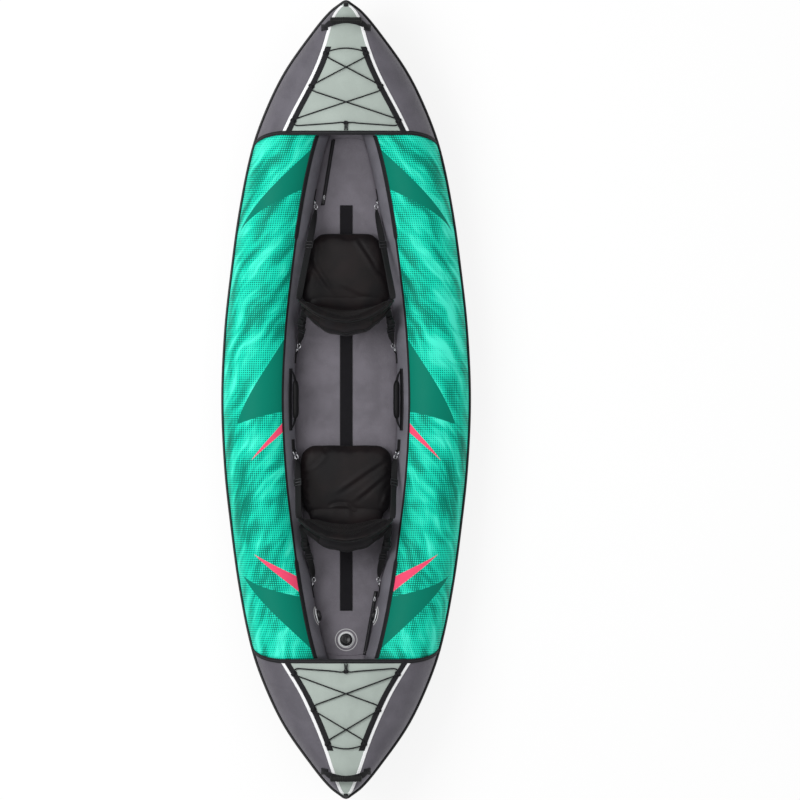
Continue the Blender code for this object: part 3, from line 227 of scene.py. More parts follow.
def axis_place(base: Vector, axis: Vector) -> Matrix:
    """The place of a round fitting: its own Z runs along the axis."""
    return Matrix.Translation(base) @ axis.to_track_quat("Z", "Y").to_matrix().to_4x4()


# -- the hull's lines


@dataclass(frozen=True)
class HullForm:
    """The boat's lines as smooth surfaces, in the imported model's frame and sizes."""

    skin_half_length: float = 1.5886
    skin_half_width: float = 0.4921
    tube_radius: float = 0.1425
    tube_base: float = 0.1525
    end_rise: float = 0.158
    flat_half_length: float = 0.550
    nose_height: float = 0.110
    nose_taper_start: float = 1.000
    seam_gap: float = 0.0004
    bottom_drop: float = 0.010
    floor_thickness: float = 0.100
    bow_edge: float = 1.060
    stern_edge: float = -1.040
    deck_crown: float = 0.14
    edge_reach: float = 0.045
    panel_blend: float = 0.010
    binding_angle: float = radians(132.0)
    outline: tuple[Pair, ...] = (
        (0.0, 1.0), (0.175, 0.976), (0.325, 0.924), (0.475, 0.857), (0.625, 0.758),
        (0.725, 0.645), (0.825, 0.486), (0.925, 0.257), (0.975, 0.120), (1.0, 0.014),
    )
    bow_panel: tuple[Pair, ...] = (
        (0.0, 0.2580), (0.150, 0.2200), (0.268, 0.1870), (0.408, 0.1480), (0.537, 0.1170),
        (0.662, 0.0935), (0.766, 0.0775), (0.840, 0.0670), (0.912, 0.0510), (1.0, 0.0240),
    )
    stern_panel: tuple[Pair, ...] = (
        (0.0, 0.2650), (0.231, 0.1880), (0.380, 0.1480), (0.517, 0.1155), (0.667, 0.0845),
        (0.794, 0.0620), (0.878, 0.0450), (1.0, 0.0200),
    )

    def half_breadth(self, y: float) -> float:
        """Half width of the skins at y."""
        return self.skin_half_width * curve_through(self.outline, abs(y) / self.skin_half_length)

    def rise(self, y: float) -> float:
        """How far the underside has lifted at y."""
        beyond = max(abs(y) - self.flat_half_length, 0.0)
        return self.end_rise * (beyond / (self.skin_half_length - self.flat_half_length)) ** 2

    def tube_section(self, y: float) -> tuple[float, float, float, float]:
        """Centre x, centre z, half width and half height of a tube at y.

        Args:
            y: The place along the boat.

        Returns:
            The four measures.
        """
        breadth = self.half_breadth(y)
        half_width = min(self.tube_radius, (breadth - self.seam_gap) / 2)
        taper = max(abs(y) - self.nose_taper_start, 0.0) / (self.skin_half_length - self.nose_taper_start)
        half_height = self.tube_radius - (self.tube_radius - self.nose_height / 2) * taper**2
        return breadth - half_width, self.tube_base + self.rise(y), half_width, half_height

    def tube_point(self, side: int, y: float, angle: float, lift: float = 0.0) -> Vector:
        """A point of a tube.

        Args:
            side: -1 for port, 1 for starboard.
            y: Place along the boat.
            angle: 0 outboard, a quarter turn on top, a half turn inboard.
            lift: How far it stands off the surface.

        Returns:
            The point.
        """
        x, z, half_width, half_height = self.tube_section(y)
        across = x + (half_width + lift) * cos(angle)
        return Vector((side * across, y, z + (half_height + lift) * sin(angle)))

    def off_axis(self, side: int, point: Vector) -> Vector:
        """The way from a tube's middle line out to a point."""
        x, z, _, _ = self.tube_section(point.y)
        return Vector((point.x - side * x, 0.0, point.z - z))

    def tube_inner_x(self, y: float, z: float) -> float:
        """How far from the centre line a tube's inner face is at a height.

        Args:
            y: The place along the boat.
            z: The height.

        Returns:
            The distance.
        """
        x, centre, half_width, half_height = self.tube_section(y)
        share = min(abs(z - centre) / half_height, 1.0)
        return x - half_width * sqrt(1 - share**2)

    def bottom_z(self, y: float) -> float:
        """Height of the bottom panel's flat middle."""
        x, z, _, half_height = self.tube_section(y)
        return z - half_height - self.bottom_drop * min(1.0, x / 0.1)

    def floor_top(self, y: float) -> float:
        """Height of the floor's upper face."""
        return self.rise(y) + self.floor_thickness

    def edge(self, end: int) -> float:
        """Where a deck's middle meets the cockpit."""
        return self.bow_edge if end > 0 else self.stern_edge

    def deck_y(self, end: int, share: float) -> float:
        """Place along a deck: 0 at the cockpit, 1 at the tip."""
        start = self.edge(end)
        return start + (end * self.skin_half_length - start) * share

    def panel_half_width(self, y: float) -> float:
        """Half width of a deck's pale panel at y.

        Args:
            y: The place along the boat.

        Returns:
            The half width.
        """
        start = self.edge(1 if y > 0 else -1)
        share = (abs(y) - abs(start)) / (self.skin_half_length - abs(start))
        width = curve_through(self.bow_panel if y > 0 else self.stern_panel, share, level_start=False)
        x, _, half_width, _ = self.tube_section(y)
        most = x + 0.8 * half_width
        return (width + most - hypot(width - most, self.panel_blend)) / 2

    def edge_angle(self, y: float) -> float:
        """The tube's angle at which a deck's flat middle leaves it."""
        x, _, half_width, _ = self.tube_section(y)
        return acos(max(-0.3, (self.panel_half_width(y) - x) / half_width))

    def deck_point(self, y: float, u: float, lift: float = 0.0) -> Vector:
        """A point of a deck.

        Args:
            y: Place along the boat.
            u: 0 on the centre line, 1 at the pale panel's edge, 2 at the seam.
            lift: How far it stands off the surface.

        Returns:
            The point.
        """
        x, z, half_width, half_height = self.tube_section(y)
        edge = self.panel_half_width(y)
        turn = acos(max(-0.3, (edge - x) / half_width))
        side = 1 if u >= 0 else -1
        share = abs(u)
        if share > 1:
            angle = turn * (2 - share)
            across = x + (half_width + lift) * cos(angle)
            return Vector((side * across, y, z + (half_height + lift) * sin(angle)))
        across = edge * share + lift * cos(turn) * share
        height = z + half_height * sin(turn) + self.deck_crown * edge * (1 - share**2)
        return Vector((side * across, y, height + lift * (sin(turn) * share + 1 - share)))

    def sweep(self, angle: float) -> float:
        """How far a deck's edge has run towards the cockpit at an angle of the tube."""
        return self.edge_reach * max(0.0, 1.0 - angle / radians(74.0)) ** 1.7

    def swept_edge(self, end: int, u: float) -> float:
        """Where a deck's cockpit edge is at u, with its sweep over the tube.

        Args:
            end: 1 for the bow, -1 for the stern.
            u: The share across the deck.

        Returns:
            The edge's place along the boat.
        """
        start = self.edge(end)
        angle = self.edge_angle(start) * (2 - max(abs(u), 1.0))
        return start - end * self.sweep(angle)

    def strip_u(self, y: float, inset: float) -> float:
        """A deck's u at a distance in from the pale panel's edge."""
        edge = self.panel_half_width(y)
        return max(edge - inset, 0.0) / edge


FORM = HullForm()


# -- mesh building


def clear_default_scene() -> None:
    """Remove the camera, lamp and cube that an empty file opens with."""
    for name in ("Cube", "Light", "Camera"):
        thing = bpy.data.objects.get(name)
        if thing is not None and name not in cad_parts:
            bpy.data.objects.remove(thing, do_unlink=True)


def mapped_grid(cells: tuple[int, int], size: Pair, surface: Surface) -> Shape:
    """Lay a flat grid over a surface, with a UV map in metres.

    Args:
        cells: Cells across and along.
        size: Metres across and along that the UV map covers, centred across.
        surface: Gives a point for shares across and along, each from 0 to 1.

    Returns:
        The grid in place.
    """
    bm = bmesh.new()
    layer = bm.loops.layers.uv.new("cloth")
    bmesh.ops.create_grid(bm, x_segments=cells[0], y_segments=cells[1], size=0.5, calc_uvs=False)
    reach = max(corner.co.x for corner in bm.verts)
    for face in bm.faces:
        for loop in face.loops:
            across, along = (loop.vert.co.x / reach) / 2, (loop.vert.co.y / reach + 1) / 2
            loop[layer].uv = (across * size[0], along * size[1])
    for corner in bm.verts:
        corner.co = surface((corner.co.x / reach + 1) / 2, (corner.co.y / reach + 1) / 2)
    return bm


def map_again(bm: Shape, change: Callable[[Vector, Vector], Sequence[float]]) -> None:
    """Give the UV map new values, worked out from its own and from each corner's place.

    Args:
        bm: The sheet.
        change: Gives a corner's new values from its old ones and its place.
    """
    layer = bm.loops.layers.uv["cloth"]
    for face in bm.faces:
        for loop in face.loops:
            loop[layer].uv = change(loop[layer].uv, loop.vert.co)


def face_towards(bm: Shape, outward: Callable[[Vector], Vector]) -> None:
    """Turn an open sheet over where most of it faces the wrong way.

    Args:
        bm: The sheet.
        outward: The way that counts as out at a place.
    """
    bm.normal_update()
    total = sum(face.normal.dot(outward(face.calc_center_median())) for face in bm.faces)
    if total < 0:
        bmesh.ops.reverse_faces(bm, faces=bm.faces)


def place_object(name: str, bm: Shape, smooth: float = 40.0) -> Thing:
    """Make an object of a bmesh, at the origin and linked to the scene.

    Args:
        name: The piece's name.
        bm: Its mesh, which is freed.
        smooth: The angle, in degrees, past which an edge stays sharp.

    Returns:
        The object.
    """
    mesh = bpy.data.meshes.new(name)
    bm.to_mesh(mesh)
    bm.free()
    mesh.shade_smooth()
    mesh.set_sharp_from_angle(angle=radians(smooth))
    thing = bpy.data.objects.new(name, mesh)
    bpy.context.scene.collection.objects.link(thing)
    return thing


def thicken(thing: Thing, thickness: float, offset: float = -1.0) -> Thing:
    """Give a sheet its thickness by a Solidify.

    Args:
        thing: The sheet.
        thickness: The wall's thickness.
        offset: Which side of the sheet the wall is on, from -1 to 1.

    Returns:
        The same sheet.
    """
    wall = thing.modifiers.new("thickness", "SOLIDIFY")
    wall.thickness = thickness
    wall.offset = offset
    wall.use_quality_normals = True
    return thing


def bake(thing: Thing) -> Thing:
    """Apply an object's modifiers.

    Args:
        thing: The object.

    Returns:
        The same object.
    """
    shown = thing.evaluated_get(bpy.context.evaluated_depsgraph_get())
    mesh = bpy.data.meshes.new_from_object(shown)
    thing.modifiers.clear()
    thing.data = mesh
    return thing


def punch(thing: Thing, base: Vector, axis: Vector, radius: float, reach: float) -> None:
    """Cut a round hole through a piece.

    Args:
        thing: The piece, whose modifiers are applied too.
        base: Where the hole's axis meets the surface.
        axis: The hole's direction.
        radius: The hole's radius.
        reach: How far the cutter runs to both sides.
    """
    bm, place = bmesh.new(), axis_place(base, axis)
    bmesh.ops.create_cone(
        bm, cap_ends=True, segments=48, radius1=radius, radius2=radius, depth=2 * reach, matrix=place
    )
    cutter = place_object("hole_cutter", bm)
    cut = thing.modifiers.new("hole", "BOOLEAN")
    cut.operation = "DIFFERENCE"
    cut.solver = "EXACT"
    cut.object = cutter
    bake(thing)
    bpy.data.objects.remove(cutter, do_unlink=True)


def tube_bmesh(
    path: Sequence[Vector],
    radius: float | Width,
    around: int = 8,
    closed: bool = False,
    flat: float = 1.0,
    up: Vector = UP,
) -> Shape:
    """A round or oval tube along a path.

    Args:
        path: The middle line.
        radius: The radius, or what gives it for a share along the path.
        around: Faces round the tube.
        closed: Whether the path comes back to its start.
        flat: Height of the section against its width.
        up: The way that the section's height looks at the start.

    Returns:
        A closed mesh with a UV map in metres round and along.
    """
    count = len(path)
    last = count if closed else count - 1
    size = radius if callable(radius) else lambda share: radius
    runs, ups = [], []
    height = up.copy()
    for row in range(count):
        ahead = path[(row + 1) % count] if closed else path[min(row + 1, count - 1)]
        behind = path[row - 1] if closed else path[max(row - 1, 0)]
        run = (ahead - behind).normalized()
        height = square_to(run, height)
        runs.append(run)
        ups.append(height)
    lengths = [0.0, *accumulate(steps_of([*path, path[0]] if closed else path))]

    def surface(across: float, along: float) -> Vector:
        """The place of a sheet's point, by its two shares.

        Args:
            across: The share across.
            along: The share along.

        Returns:
            The point.
        """
        row = round(along * last) % count
        turn = 2 * pi * across
        wide = runs[row].cross(ups[row])
        spoke = wide * cos(turn) + ups[row] * (sin(turn) * flat)
        return path[row] + spoke * size(lengths[round(along * last)] / lengths[-1])

    girth = 2 * pi * size(0.5)
    bm = mapped_grid((around, last), (girth, lengths[-1]), surface)
    bmesh.ops.remove_doubles(bm, verts=bm.verts, dist=1e-6)
    if not closed:
        bmesh.ops.holes_fill(bm, edges=[edge for edge in bm.edges if edge.is_boundary], sides=0)
    bmesh.ops.recalc_face_normals(bm, faces=bm.faces)
    return bm


def block_bmesh(
    size: tuple[float, float, float], bevel: float, matrix: Matrix, segments: int = 2
) -> Shape:
    """A block with rounded edges, put in its place by a matrix.

    Args:
        size: Its length on each axis.
        bevel: The radius of its edges.
        matrix: Its place.
        segments: Faces across a rounded edge.

    Returns:
        The block.
    """
    bm = bmesh.new()
    bmesh.ops.create_cube(bm, size=1.0)
    bmesh.ops.scale(bm, vec=size, verts=bm.verts)
    bmesh.ops.bevel(
        bm, geom=bm.edges, offset=bevel, offset_type="OFFSET", segments=segments, profile=0.5,
        affect="EDGES", clamp_overlap=True, material=-1,
    )
    bmesh.ops.transform(bm, matrix=matrix, verts=bm.verts)
    return bm


def turned_bmesh(profile: Sequence[Pair], steps: int = 64, place: Matrix = Matrix()) -> Shape:
    """Spin a profile of radius and height round the Z axis into a closed piece, and put it in its place.

    Args:
        profile: Rows of radius and height.
        steps: Faces round the axis.
        place: The place that it is put in.

    Returns:
        The turned piece.
    """
    bm = bmesh.new()
    corners = [bm.verts.new((max(radius, 0.0), 0.0, height)) for radius, height in profile]
    edges = [bm.edges.new(pair) for pair in zip(corners, corners[1:])]
    bmesh.ops.spin(
        bm, geom=[*corners, *edges], cent=(0.0, 0.0, 0.0), axis=(0.0, 0.0, 1.0), angle=2 * pi,
        steps=steps, use_merge=True, use_duplicate=False,
    )
    bmesh.ops.remove_doubles(bm, verts=bm.verts, dist=1e-6)
    bmesh.ops.recalc_face_normals(bm, faces=bm.faces)
    bmesh.ops.transform(bm, matrix=place, verts=bm.verts)
    return bm


def pillow_bmesh(cuts: tuple[int, int, int], shape: Callable[[float, float, float], Vector]) -> Shape:
    """A cube cut into a fine grid and drawn out into a closed soft form.

    Args:
        cuts: Cuts across, along and through.
        shape: Gives a point for three shares, each from -1 to 1.

    Returns:
        The closed form.
    """
    bm = bmesh.new()
    bmesh.ops.create_cube(bm, size=2.0)
    for axis, cut in enumerate(cuts):
        edges = [e for e in bm.edges if abs(e.verts[0].co[axis] - e.verts[1].co[axis]) > 1.0]
        bmesh.ops.subdivide_edges(bm, edges=edges, cuts=cut, use_grid_fill=True)
    for corner in bm.verts:
        corner.co = shape(*corner.co)
    bmesh.ops.recalc_face_normals(bm, faces=bm.faces)
    return bm


def join_bmeshes(*parts: Shape) -> Shape:
    """Put several closed forms into one mesh.

    Args:
        parts: The forms, which are used up.

    Returns:
        The joined mesh.
    """
    whole = bmesh.new()
    for part in parts:
        mesh = bpy.data.meshes.new("part")
        part.to_mesh(mesh)
        part.free()
        whole.from_mesh(mesh)
        bpy.data.meshes.remove(mesh)
    return whole


# -- finishes


class Bench:
    """The node tree of one material, with short ways to add and join its nodes."""

    def __init__(self, name: str) -> None:
        """Make an empty Principled material of a name.

        Args:
            name: The material's name.
        """
        self.material = bpy.data.materials.new(name)
        self.material.use_nodes = True
        self.tree = self.material.node_tree
        self.shader = self.tree.nodes["Principled BSDF"]
        self.spots = self.tree.nodes.new("ShaderNodeTexCoord")

    @property
    def here(self) -> Socket:
        """The place on the object, in metres."""
        return self.spots.outputs["Object"]

    @property
    def cloth(self) -> Socket:
        """The place on the cloth, in metres across and along."""
        return self.spots.outputs["UV"]

    def put(self, socket: Socket, value: object) -> None:
        """Link a socket, or set its value.

        Args:
            socket: The input.
            value: A socket, or the value to set.
        """
        if isinstance(value, Socket):
            self.tree.links.new(value, socket)
        elif isinstance(value, tuple) and len(value) == 3 and socket.type == "RGBA":
            socket.default_value = (*value, 1.0)
        else:
            socket.default_value = value

    def node(
        self, kind: str, inputs: dict[str | int, object], output: str | int = 0, **settings: object
    ) -> Socket:
        """Add a node, say what it does and fill its inputs.

        Args:
            kind: The node's type, without the words that all types share.
            inputs: What goes into its sockets, by their names or numbers.
            output: The socket that counts.
            settings: The node's own settings.

        Returns:
            That output.
        """
        made = self.tree.nodes.new(f"ShaderNode{kind}")
        for word, value in settings.items():
            setattr(made, word, value)
        for place, value in inputs.items():
            self.put(made.inputs[place], value)
        return made.outputs[output]

    def math(self, operation: str, *values: object, clamp: bool = False) -> Socket:
        """A Math node's result."""
        return self.node("Math", dict(enumerate(values)), operation=operation, use_clamp=clamp)

    plus = partialmethod(math, "ADD")
    less = partialmethod(math, "SUBTRACT")
    times = partialmethod(math, "MULTIPLY")
    ramp = partialmethod(math, "MULTIPLY_ADD")
    size = partialmethod(math, "ABSOLUTE")

    def distance(self, first: object, second: object) -> Socket:
        """How far two places are from each other."""
        return self.node("VectorMath", {0: first, 1: second}, "Value", operation="DISTANCE")

    def split(self, vector: Socket) -> tuple[Socket, ...]:
        """The three numbers of a vector.

        Args:
            vector: The vector.

        Returns:
            The three sockets.
        """
        made = self.tree.nodes.new("ShaderNodeSeparateXYZ")
        self.put(made.inputs[0], vector)
        return tuple(made.outputs)

    def merge(self, x: object, y: object, z: object = 0.0) -> Socket:
        """A vector of three numbers."""
        return self.node("CombineXYZ", {0: x, 1: y, 2: z})

    def noise(self, vector: Socket, size: float, detail: float = 3.0, warp: float = 0.0) -> Socket:
        """Even noise from 0 to 1, with waves about as long as size."""
        inputs = {"Vector": vector, "Scale": 1.0 / size, "Detail": detail, "Distortion": warp}
        return self.node("TexNoise", inputs, "Fac")

    def step(self, value: object, low: float, high: float) -> Socket:
        """A share that eases from 0 at low to 1 at high."""
        inputs = {"Value": value, "From Min": low, "From Max": high}
        return self.node("MapRange", inputs, "Result", interpolation_type="SMOOTHSTEP")

    def mix(self, share: object, first: object, second: object) -> Socket:
        """A colour between two."""
        return self.node("Mix", {0: share, 6: first, 7: second}, 2, data_type="RGBA")

    def wave(self, value: object, length: float) -> Socket:
        """A sine of a length in metres, from -1 to 1."""
        return self.math("SINE", self.times(value, 2 * pi / length))

    def relief(self, height: object, depth: float, under: object = None) -> Socket:
        """A bumped normal for a height from 0 to 1."""
        inputs = {"Strength": 1.0, "Distance": depth, "Height": height}
        return self.node("Bump", inputs if under is None else {**inputs, "Normal": under}, "Normal")

    def set(
        self, colour: Socket, normal: Socket, rough: object, specular: float = 0.5, **more: float
    ) -> None:
        """Set or link the shader's own sockets, with underscores for spaces in the further ones.

        Args:
            colour: The base colour.
            normal: The bumped normal.
            rough: The roughness.
            specular: The strength of the highlights.
            more: Further sockets and their values.
        """
        values = {
            "Base_Color": colour, "Normal": normal, "Roughness": rough, "Specular_IOR_Level": specular, **more
        }
        for word, value in values.items():
            self.put(self.shader.inputs[word.replace("_", " ")], value)


def srgb(red: float, green: float, blue: float) -> Colour:
    """A screen colour of 0 to 255 as the plain light values that a shader takes.

    Args:
        red: Red, from 0 to 255.
        green: Green, from 0 to 255.
        blue: Blue, from 0 to 255.

    Returns:
        The three values, from 0 to 1.
    """
    return tuple(
        value / 12.92 if value <= 0.04045 else ((value + 0.055) / 1.055) ** 2.4
        for value in (red / 255, green / 255, blue / 255)
    )


def scaled(colour: Colour, amount: float) -> Colour:
    """A colour made darker or lighter."""
    return tuple(min(part * amount, 1.0) for part in colour)


@dataclass(frozen=True)
class Finish:
    """A named finish, made into one material."""

    name: str
    colour: Colour

    def shade(self, bench: Bench, share: object, dark: float, light: float) -> Socket:
        """The finish's colour, from a darker to a lighter one."""
        return bench.mix(share, scaled(self.colour, dark), scaled(self.colour, light))

    def dress(self, bench: Bench) -> None:
        """Add the finish's nodes.

        Args:
            bench: The material's node tree.
        """
        raise NotImplementedError

    def material(self) -> bpy.types.Material:
        """The material, made on its first use.

        Returns:
            The material.
        """
        found = bpy.data.materials.get(self.name)
        if found is not None:
            return found
        bench = Bench(self.name)
        self.dress(bench)
        bench.material.diffuse_color = (*self.colour, 1.0)
        return bench.material


@dataclass(frozen=True)
class PrintRing:
    """A printed ring round a valve: its middle and the radii where ink starts and ends."""

    centre: tuple[float, float, float]
    inner: float
    outer: float


@dataclass(frozen=True)
class CoatedCloth(Finish):
    """Woven cloth under a thin coat: a fine weave, soft mottling and faint scuffs."""

    weave: float = 0.0012
    depth: float = 0.00012
    mottle: float = 0.12
    roughness: float = 0.55
    slack: float = 0.0
    rings: tuple[PrintRing, ...] = ()
    ink: Colour = (0.80, 0.80, 0.80)

    def dress(self, bench: Bench) -> None:
        """Add the weave, the mottling, the scuffs and any printed rings.

        Args:
            bench: The material on the bench.
        """
        across, along, _ = bench.split(bench.cloth)
        threads = bench.times(bench.wave(across, self.weave), bench.wave(along, self.weave))
        clouds = bench.noise(bench.here, 0.09, 4.0, 0.4)
        grain = bench.noise(bench.here, 0.004, 2.0)
        tone = bench.plus(clouds, bench.times(bench.less(grain, 0.5), 0.35))
        colour = self.shade(bench, bench.step(tone, 0.3, 0.7), 1 - self.mottle, 1 + self.mottle)
        scuffs = bench.step(bench.noise(bench.here, 0.02, 6.0, 1.5), 0.66, 0.78)
        colour = bench.mix(bench.times(scuffs, 0.04), colour, (0.55, 0.55, 0.56))
        for ring in self.rings:
            away = bench.distance(bench.here, ring.centre)
            inside = bench.step(away, ring.inner - 0.0006, ring.inner + 0.0006)
            outside = bench.step(away, ring.outer + 0.0006, ring.outer - 0.0006)
            colour = bench.mix(bench.times(inside, outside), colour, self.ink)
        normal = bench.relief(bench.ramp(threads, 0.5, 0.5), self.depth)
        if self.slack:
            normal = bench.relief(bench.noise(bench.here, 0.05, 3.0, 0.6), self.slack, normal)
        rough = bench.ramp(clouds, 0.16, self.roughness - 0.08)
        bench.set(colour, normal, rough, 0.28)


@dataclass(frozen=True)
class Blade:
    """One plain printed blade: where it starts at the binding, its lean, bow and half width."""

    start: float
    lean: float
    bow: float
    half: float
    reach: float = 1.0
    power: float = 1.1


@dataclass(frozen=True)
class PrintedCloth(Finish):
    """The side covers' print: a screen of square dots over streaks, with plain blades."""

    bright: Colour = (0.010, 0.80, 0.555)
    pale: Colour = (0.075, 0.97, 0.72)
    accent: Colour = (1.0, 0.085, 0.19)
    dot: float = 0.0088
    width: float = 0.3283
    dark_blades: tuple[Blade, ...] = (
        Blade(0.93, -0.24, -0.08, 0.085, 0.85), Blade(0.10, -0.26, -0.10, 0.150, 0.62, 0.9),
        Blade(-0.90, 0.20, 0.06, 0.110, 0.80),
    )
    bright_blades: tuple[Blade, ...] = (
        Blade(-0.110, -0.26, -0.10, 0.020, 0.45, 0.8), Blade(-0.745, 0.20, 0.06, 0.034, 0.55, 0.9),
    )

    def blade(self, bench: Bench, share: object, along: object, blade: Blade) -> Socket:
        """The share of a blade's ink at a place, for a share from 0 at the binding to 1.

        Args:
            bench: The material on the bench.
            share: The share across the sleeve.
            along: The place along the sleeve.
            blade: The blade's sizes.

        Returns:
            The share of ink.
        """
        bent = bench.ramp(bench.times(share, share), blade.bow, blade.start)
        middle = bench.ramp(share, blade.lean, bent)
        left = bench.less(1.0, bench.math("DIVIDE", share, blade.reach), clamp=True)
        room = bench.times(bench.math("POWER", left, blade.power), blade.half)
        away = bench.size(bench.less(along, middle))
        return bench.step(bench.less(room, away), 0.0002, 0.0022)

    def streaks(self, bench: Bench, across: object, along: object) -> Socket:
        """The tone behind the dots: long slanted streaks, from about -2 for light to 2 for dark.

        Args:
            bench: The material on the bench.
            across: The place across the sleeve.
            along: The place along the sleeve.

        Returns:
            The tone.
        """
        bend = bench.times(bench.less(bench.noise(bench.here, 0.22, 1.0), 0.5), 0.11)
        run = bench.ramp(across, 0.56, bench.times(along, 0.83))
        over = bench.plus(bench.ramp(across, 0.83, bench.times(along, -0.56)), bend)
        long = bench.merge(bench.times(run, 4.5), bench.times(over, 16.0))
        fine = bench.merge(bench.times(run, 11.0), bench.times(over, 46.0), 4.0)
        tone = bench.ramp(bench.less(bench.noise(long, 1.0, 1.5), 0.5), 8.0, -0.35)
        tone = bench.math("MAXIMUM", bench.math("MINIMUM", tone, 1.15), -1.30)
        drift = bench.less(bench.noise(bench.here, 0.30, 1.0), 0.5)
        tone = bench.ramp(drift, 3.2, tone)
        return bench.ramp(bench.less(bench.noise(fine, 1.0, 1.0), 0.5), 2.8, tone)

    def dress(self, bench: Bench) -> None:
        """Add the dots, the streaks, the blades and the cloth's own weave.

        Args:
            bench: The material on the bench.
        """
        across, along, _ = bench.split(bench.cloth)
        tone = self.streaks(bench, across, along)
        screen = bench.plus(bench.wave(across, self.dot), bench.wave(along, self.dot))
        inked = bench.step(bench.plus(tone, screen), -0.35, 0.35)
        light = bench.mix(bench.step(tone, -0.5, -2.2), self.bright, self.pale)
        colour = bench.mix(inked, light, scaled(self.colour, 0.92))
        share = bench.less(0.5, bench.math("DIVIDE", across, self.width))
        dark = bench.mix(bench.noise(bench.here, 0.35, 1.0), self.colour, scaled(self.colour, 0.86))
        for blade in self.dark_blades:
            colour = bench.mix(self.blade(bench, share, along, blade), colour, dark)
        for blade in self.bright_blades:
            colour = bench.mix(self.blade(bench, share, along, blade), colour, self.accent)
        threads = bench.times(bench.wave(across, 0.0011), bench.wave(along, 0.0011))
        normal = bench.relief(bench.ramp(threads, 0.5, 0.5), 0.00008)
        normal = bench.relief(bench.noise(bench.here, 0.06, 2.0), 0.0006, normal)
        rough = bench.ramp(bench.noise(bench.here, 0.12), 0.14, 0.45)
        bench.set(colour, normal, rough, 0.09)


@dataclass(frozen=True)
class Webbing(Finish):
    """Woven strap: ribs across it, firm edges and rows of stitching."""

    half: float = 0.0125
    rib: float = 0.0016
    stitch_inset: float = 0.0025
    stitched: bool = True
    thread: Colour = (0.06, 0.06, 0.065)
    roughness: float = 0.75

    def dress(self, bench: Bench) -> None:
        """Add the ribs, the edges and the stitches.

        Args:
            bench: The material on the bench.
        """
        across, along, _ = bench.split(bench.cloth)
        ribs = bench.wave(along, self.rib)
        cords = bench.wave(across, self.rib * 1.3)
        height = bench.ramp(bench.times(ribs, cords), 0.3, 0.5)
        away = bench.size(across)
        edge = bench.step(away, self.half - 0.0012, self.half - 0.0004)
        height = bench.ramp(edge, 0.35, height)
        fuzz = bench.noise(bench.here, 0.006, 3.0)
        colour = self.shade(bench, fuzz, 0.7, 1.5)
        if self.stitched:
            row = bench.size(bench.less(away, self.half - self.stitch_inset))
            line = bench.step(row, 0.0007, 0.0003)
            dash = bench.step(bench.wave(along, 0.0045), -0.5, -0.1)
            stitch = bench.times(line, dash)
            colour = bench.mix(bench.times(stitch, 0.8), colour, self.thread)
            height = bench.ramp(stitch, 0.5, height)
        normal = bench.relief(height, 0.00035)
        bench.set(colour, normal, self.roughness, 0.3)


@dataclass(frozen=True)
class HookTape(Finish):
    """Hook-and-loop tape: short dense fuzz between sewn edges."""

    half: float = 0.025

    def dress(self, bench: Bench) -> None:
        """Add the fuzz, with painted shade in its low places and a painted highlight on its tips, the plain
        edges and the stitching.

        Args:
            bench: The material on the bench.
        """
        across, along, _ = bench.split(bench.cloth)
        away = bench.size(across)
        fuzz = bench.noise(bench.here, 0.0022, 4.0)
        patches = bench.noise(bench.here, 0.05, 3.0)
        edge = bench.step(away, self.half - 0.0042, self.half - 0.0034)
        # the fuzz's share of the tone is painted shade and highlight that follow its relief; the patches'
        # share is random tone
        tone = bench.ramp(fuzz, 0.7, bench.times(patches, 0.4))
        colour = self.shade(bench, tone, 0.55, 1.6)
        colour = bench.mix(edge, colour, scaled(self.colour, 0.75))
        line = bench.step(bench.size(bench.less(away, self.half - 0.0022)), 0.0007, 0.0003)
        stitch = bench.times(line, bench.step(bench.wave(along, 0.0045), -0.5, -0.1))
        colour = bench.mix(stitch, colour, (0.07, 0.07, 0.07))
        height = bench.times(fuzz, bench.less(1.0, edge))
        normal = bench.relief(height, 0.0012)
        bench.set(colour, normal, 0.95, 0.15, Sheen_Weight=0.04)


@dataclass(frozen=True)
class Braid(Finish):
    """A cord's braided sheath."""

    girth: float = 0.0173

    def dress(self, bench: Bench) -> None:
        """Add two sets of strands that wind against each other, with painted shade in the grooves between
        them and a painted highlight on their crowns.

        Args:
            bench: The material on the bench.
        """
        around, along, _ = bench.split(bench.cloth)
        turn = bench.times(around, 8.0 / self.girth)
        rise = bench.times(along, 1 / 0.0022)
        first = bench.math("SINE", bench.times(bench.plus(turn, rise), pi))
        second = bench.math("SINE", bench.times(bench.less(turn, rise), pi))
        height = bench.ramp(bench.times(first, second), 0.5, 0.5)
        # painted shade and highlight: the colour is darker in the grooves between strands and lighter on
        # their crowns
        colour = self.shade(bench, height, 0.6, 1.7)
        normal = bench.relief(height, 0.0003)
        bench.set(colour, normal, 0.7, 0.3)


@dataclass(frozen=True)
class Moulded(Finish):
    """Moulded plastic or rubber: a fine spark texture with rubbed, glossier places."""

    roughness: float = 0.45
    grain: float = 0.0009
    depth: float = 0.00008
    specular: float = 0.5

    def dress(self, bench: Bench) -> None:
        """Add the texture and the wear.

        Args:
            bench: The material on the bench.
        """
        fine = bench.noise(bench.here, self.grain, 2.0)
        wear = bench.noise(bench.here, 0.03, 4.0, 0.8)
        colour = self.shade(bench, wear, 0.85, 1.25)
        rough = bench.ramp(wear, -0.2, self.roughness + 0.1)
        normal = bench.relief(fine, self.depth)
        bench.set(colour, normal, rough, self.specular)


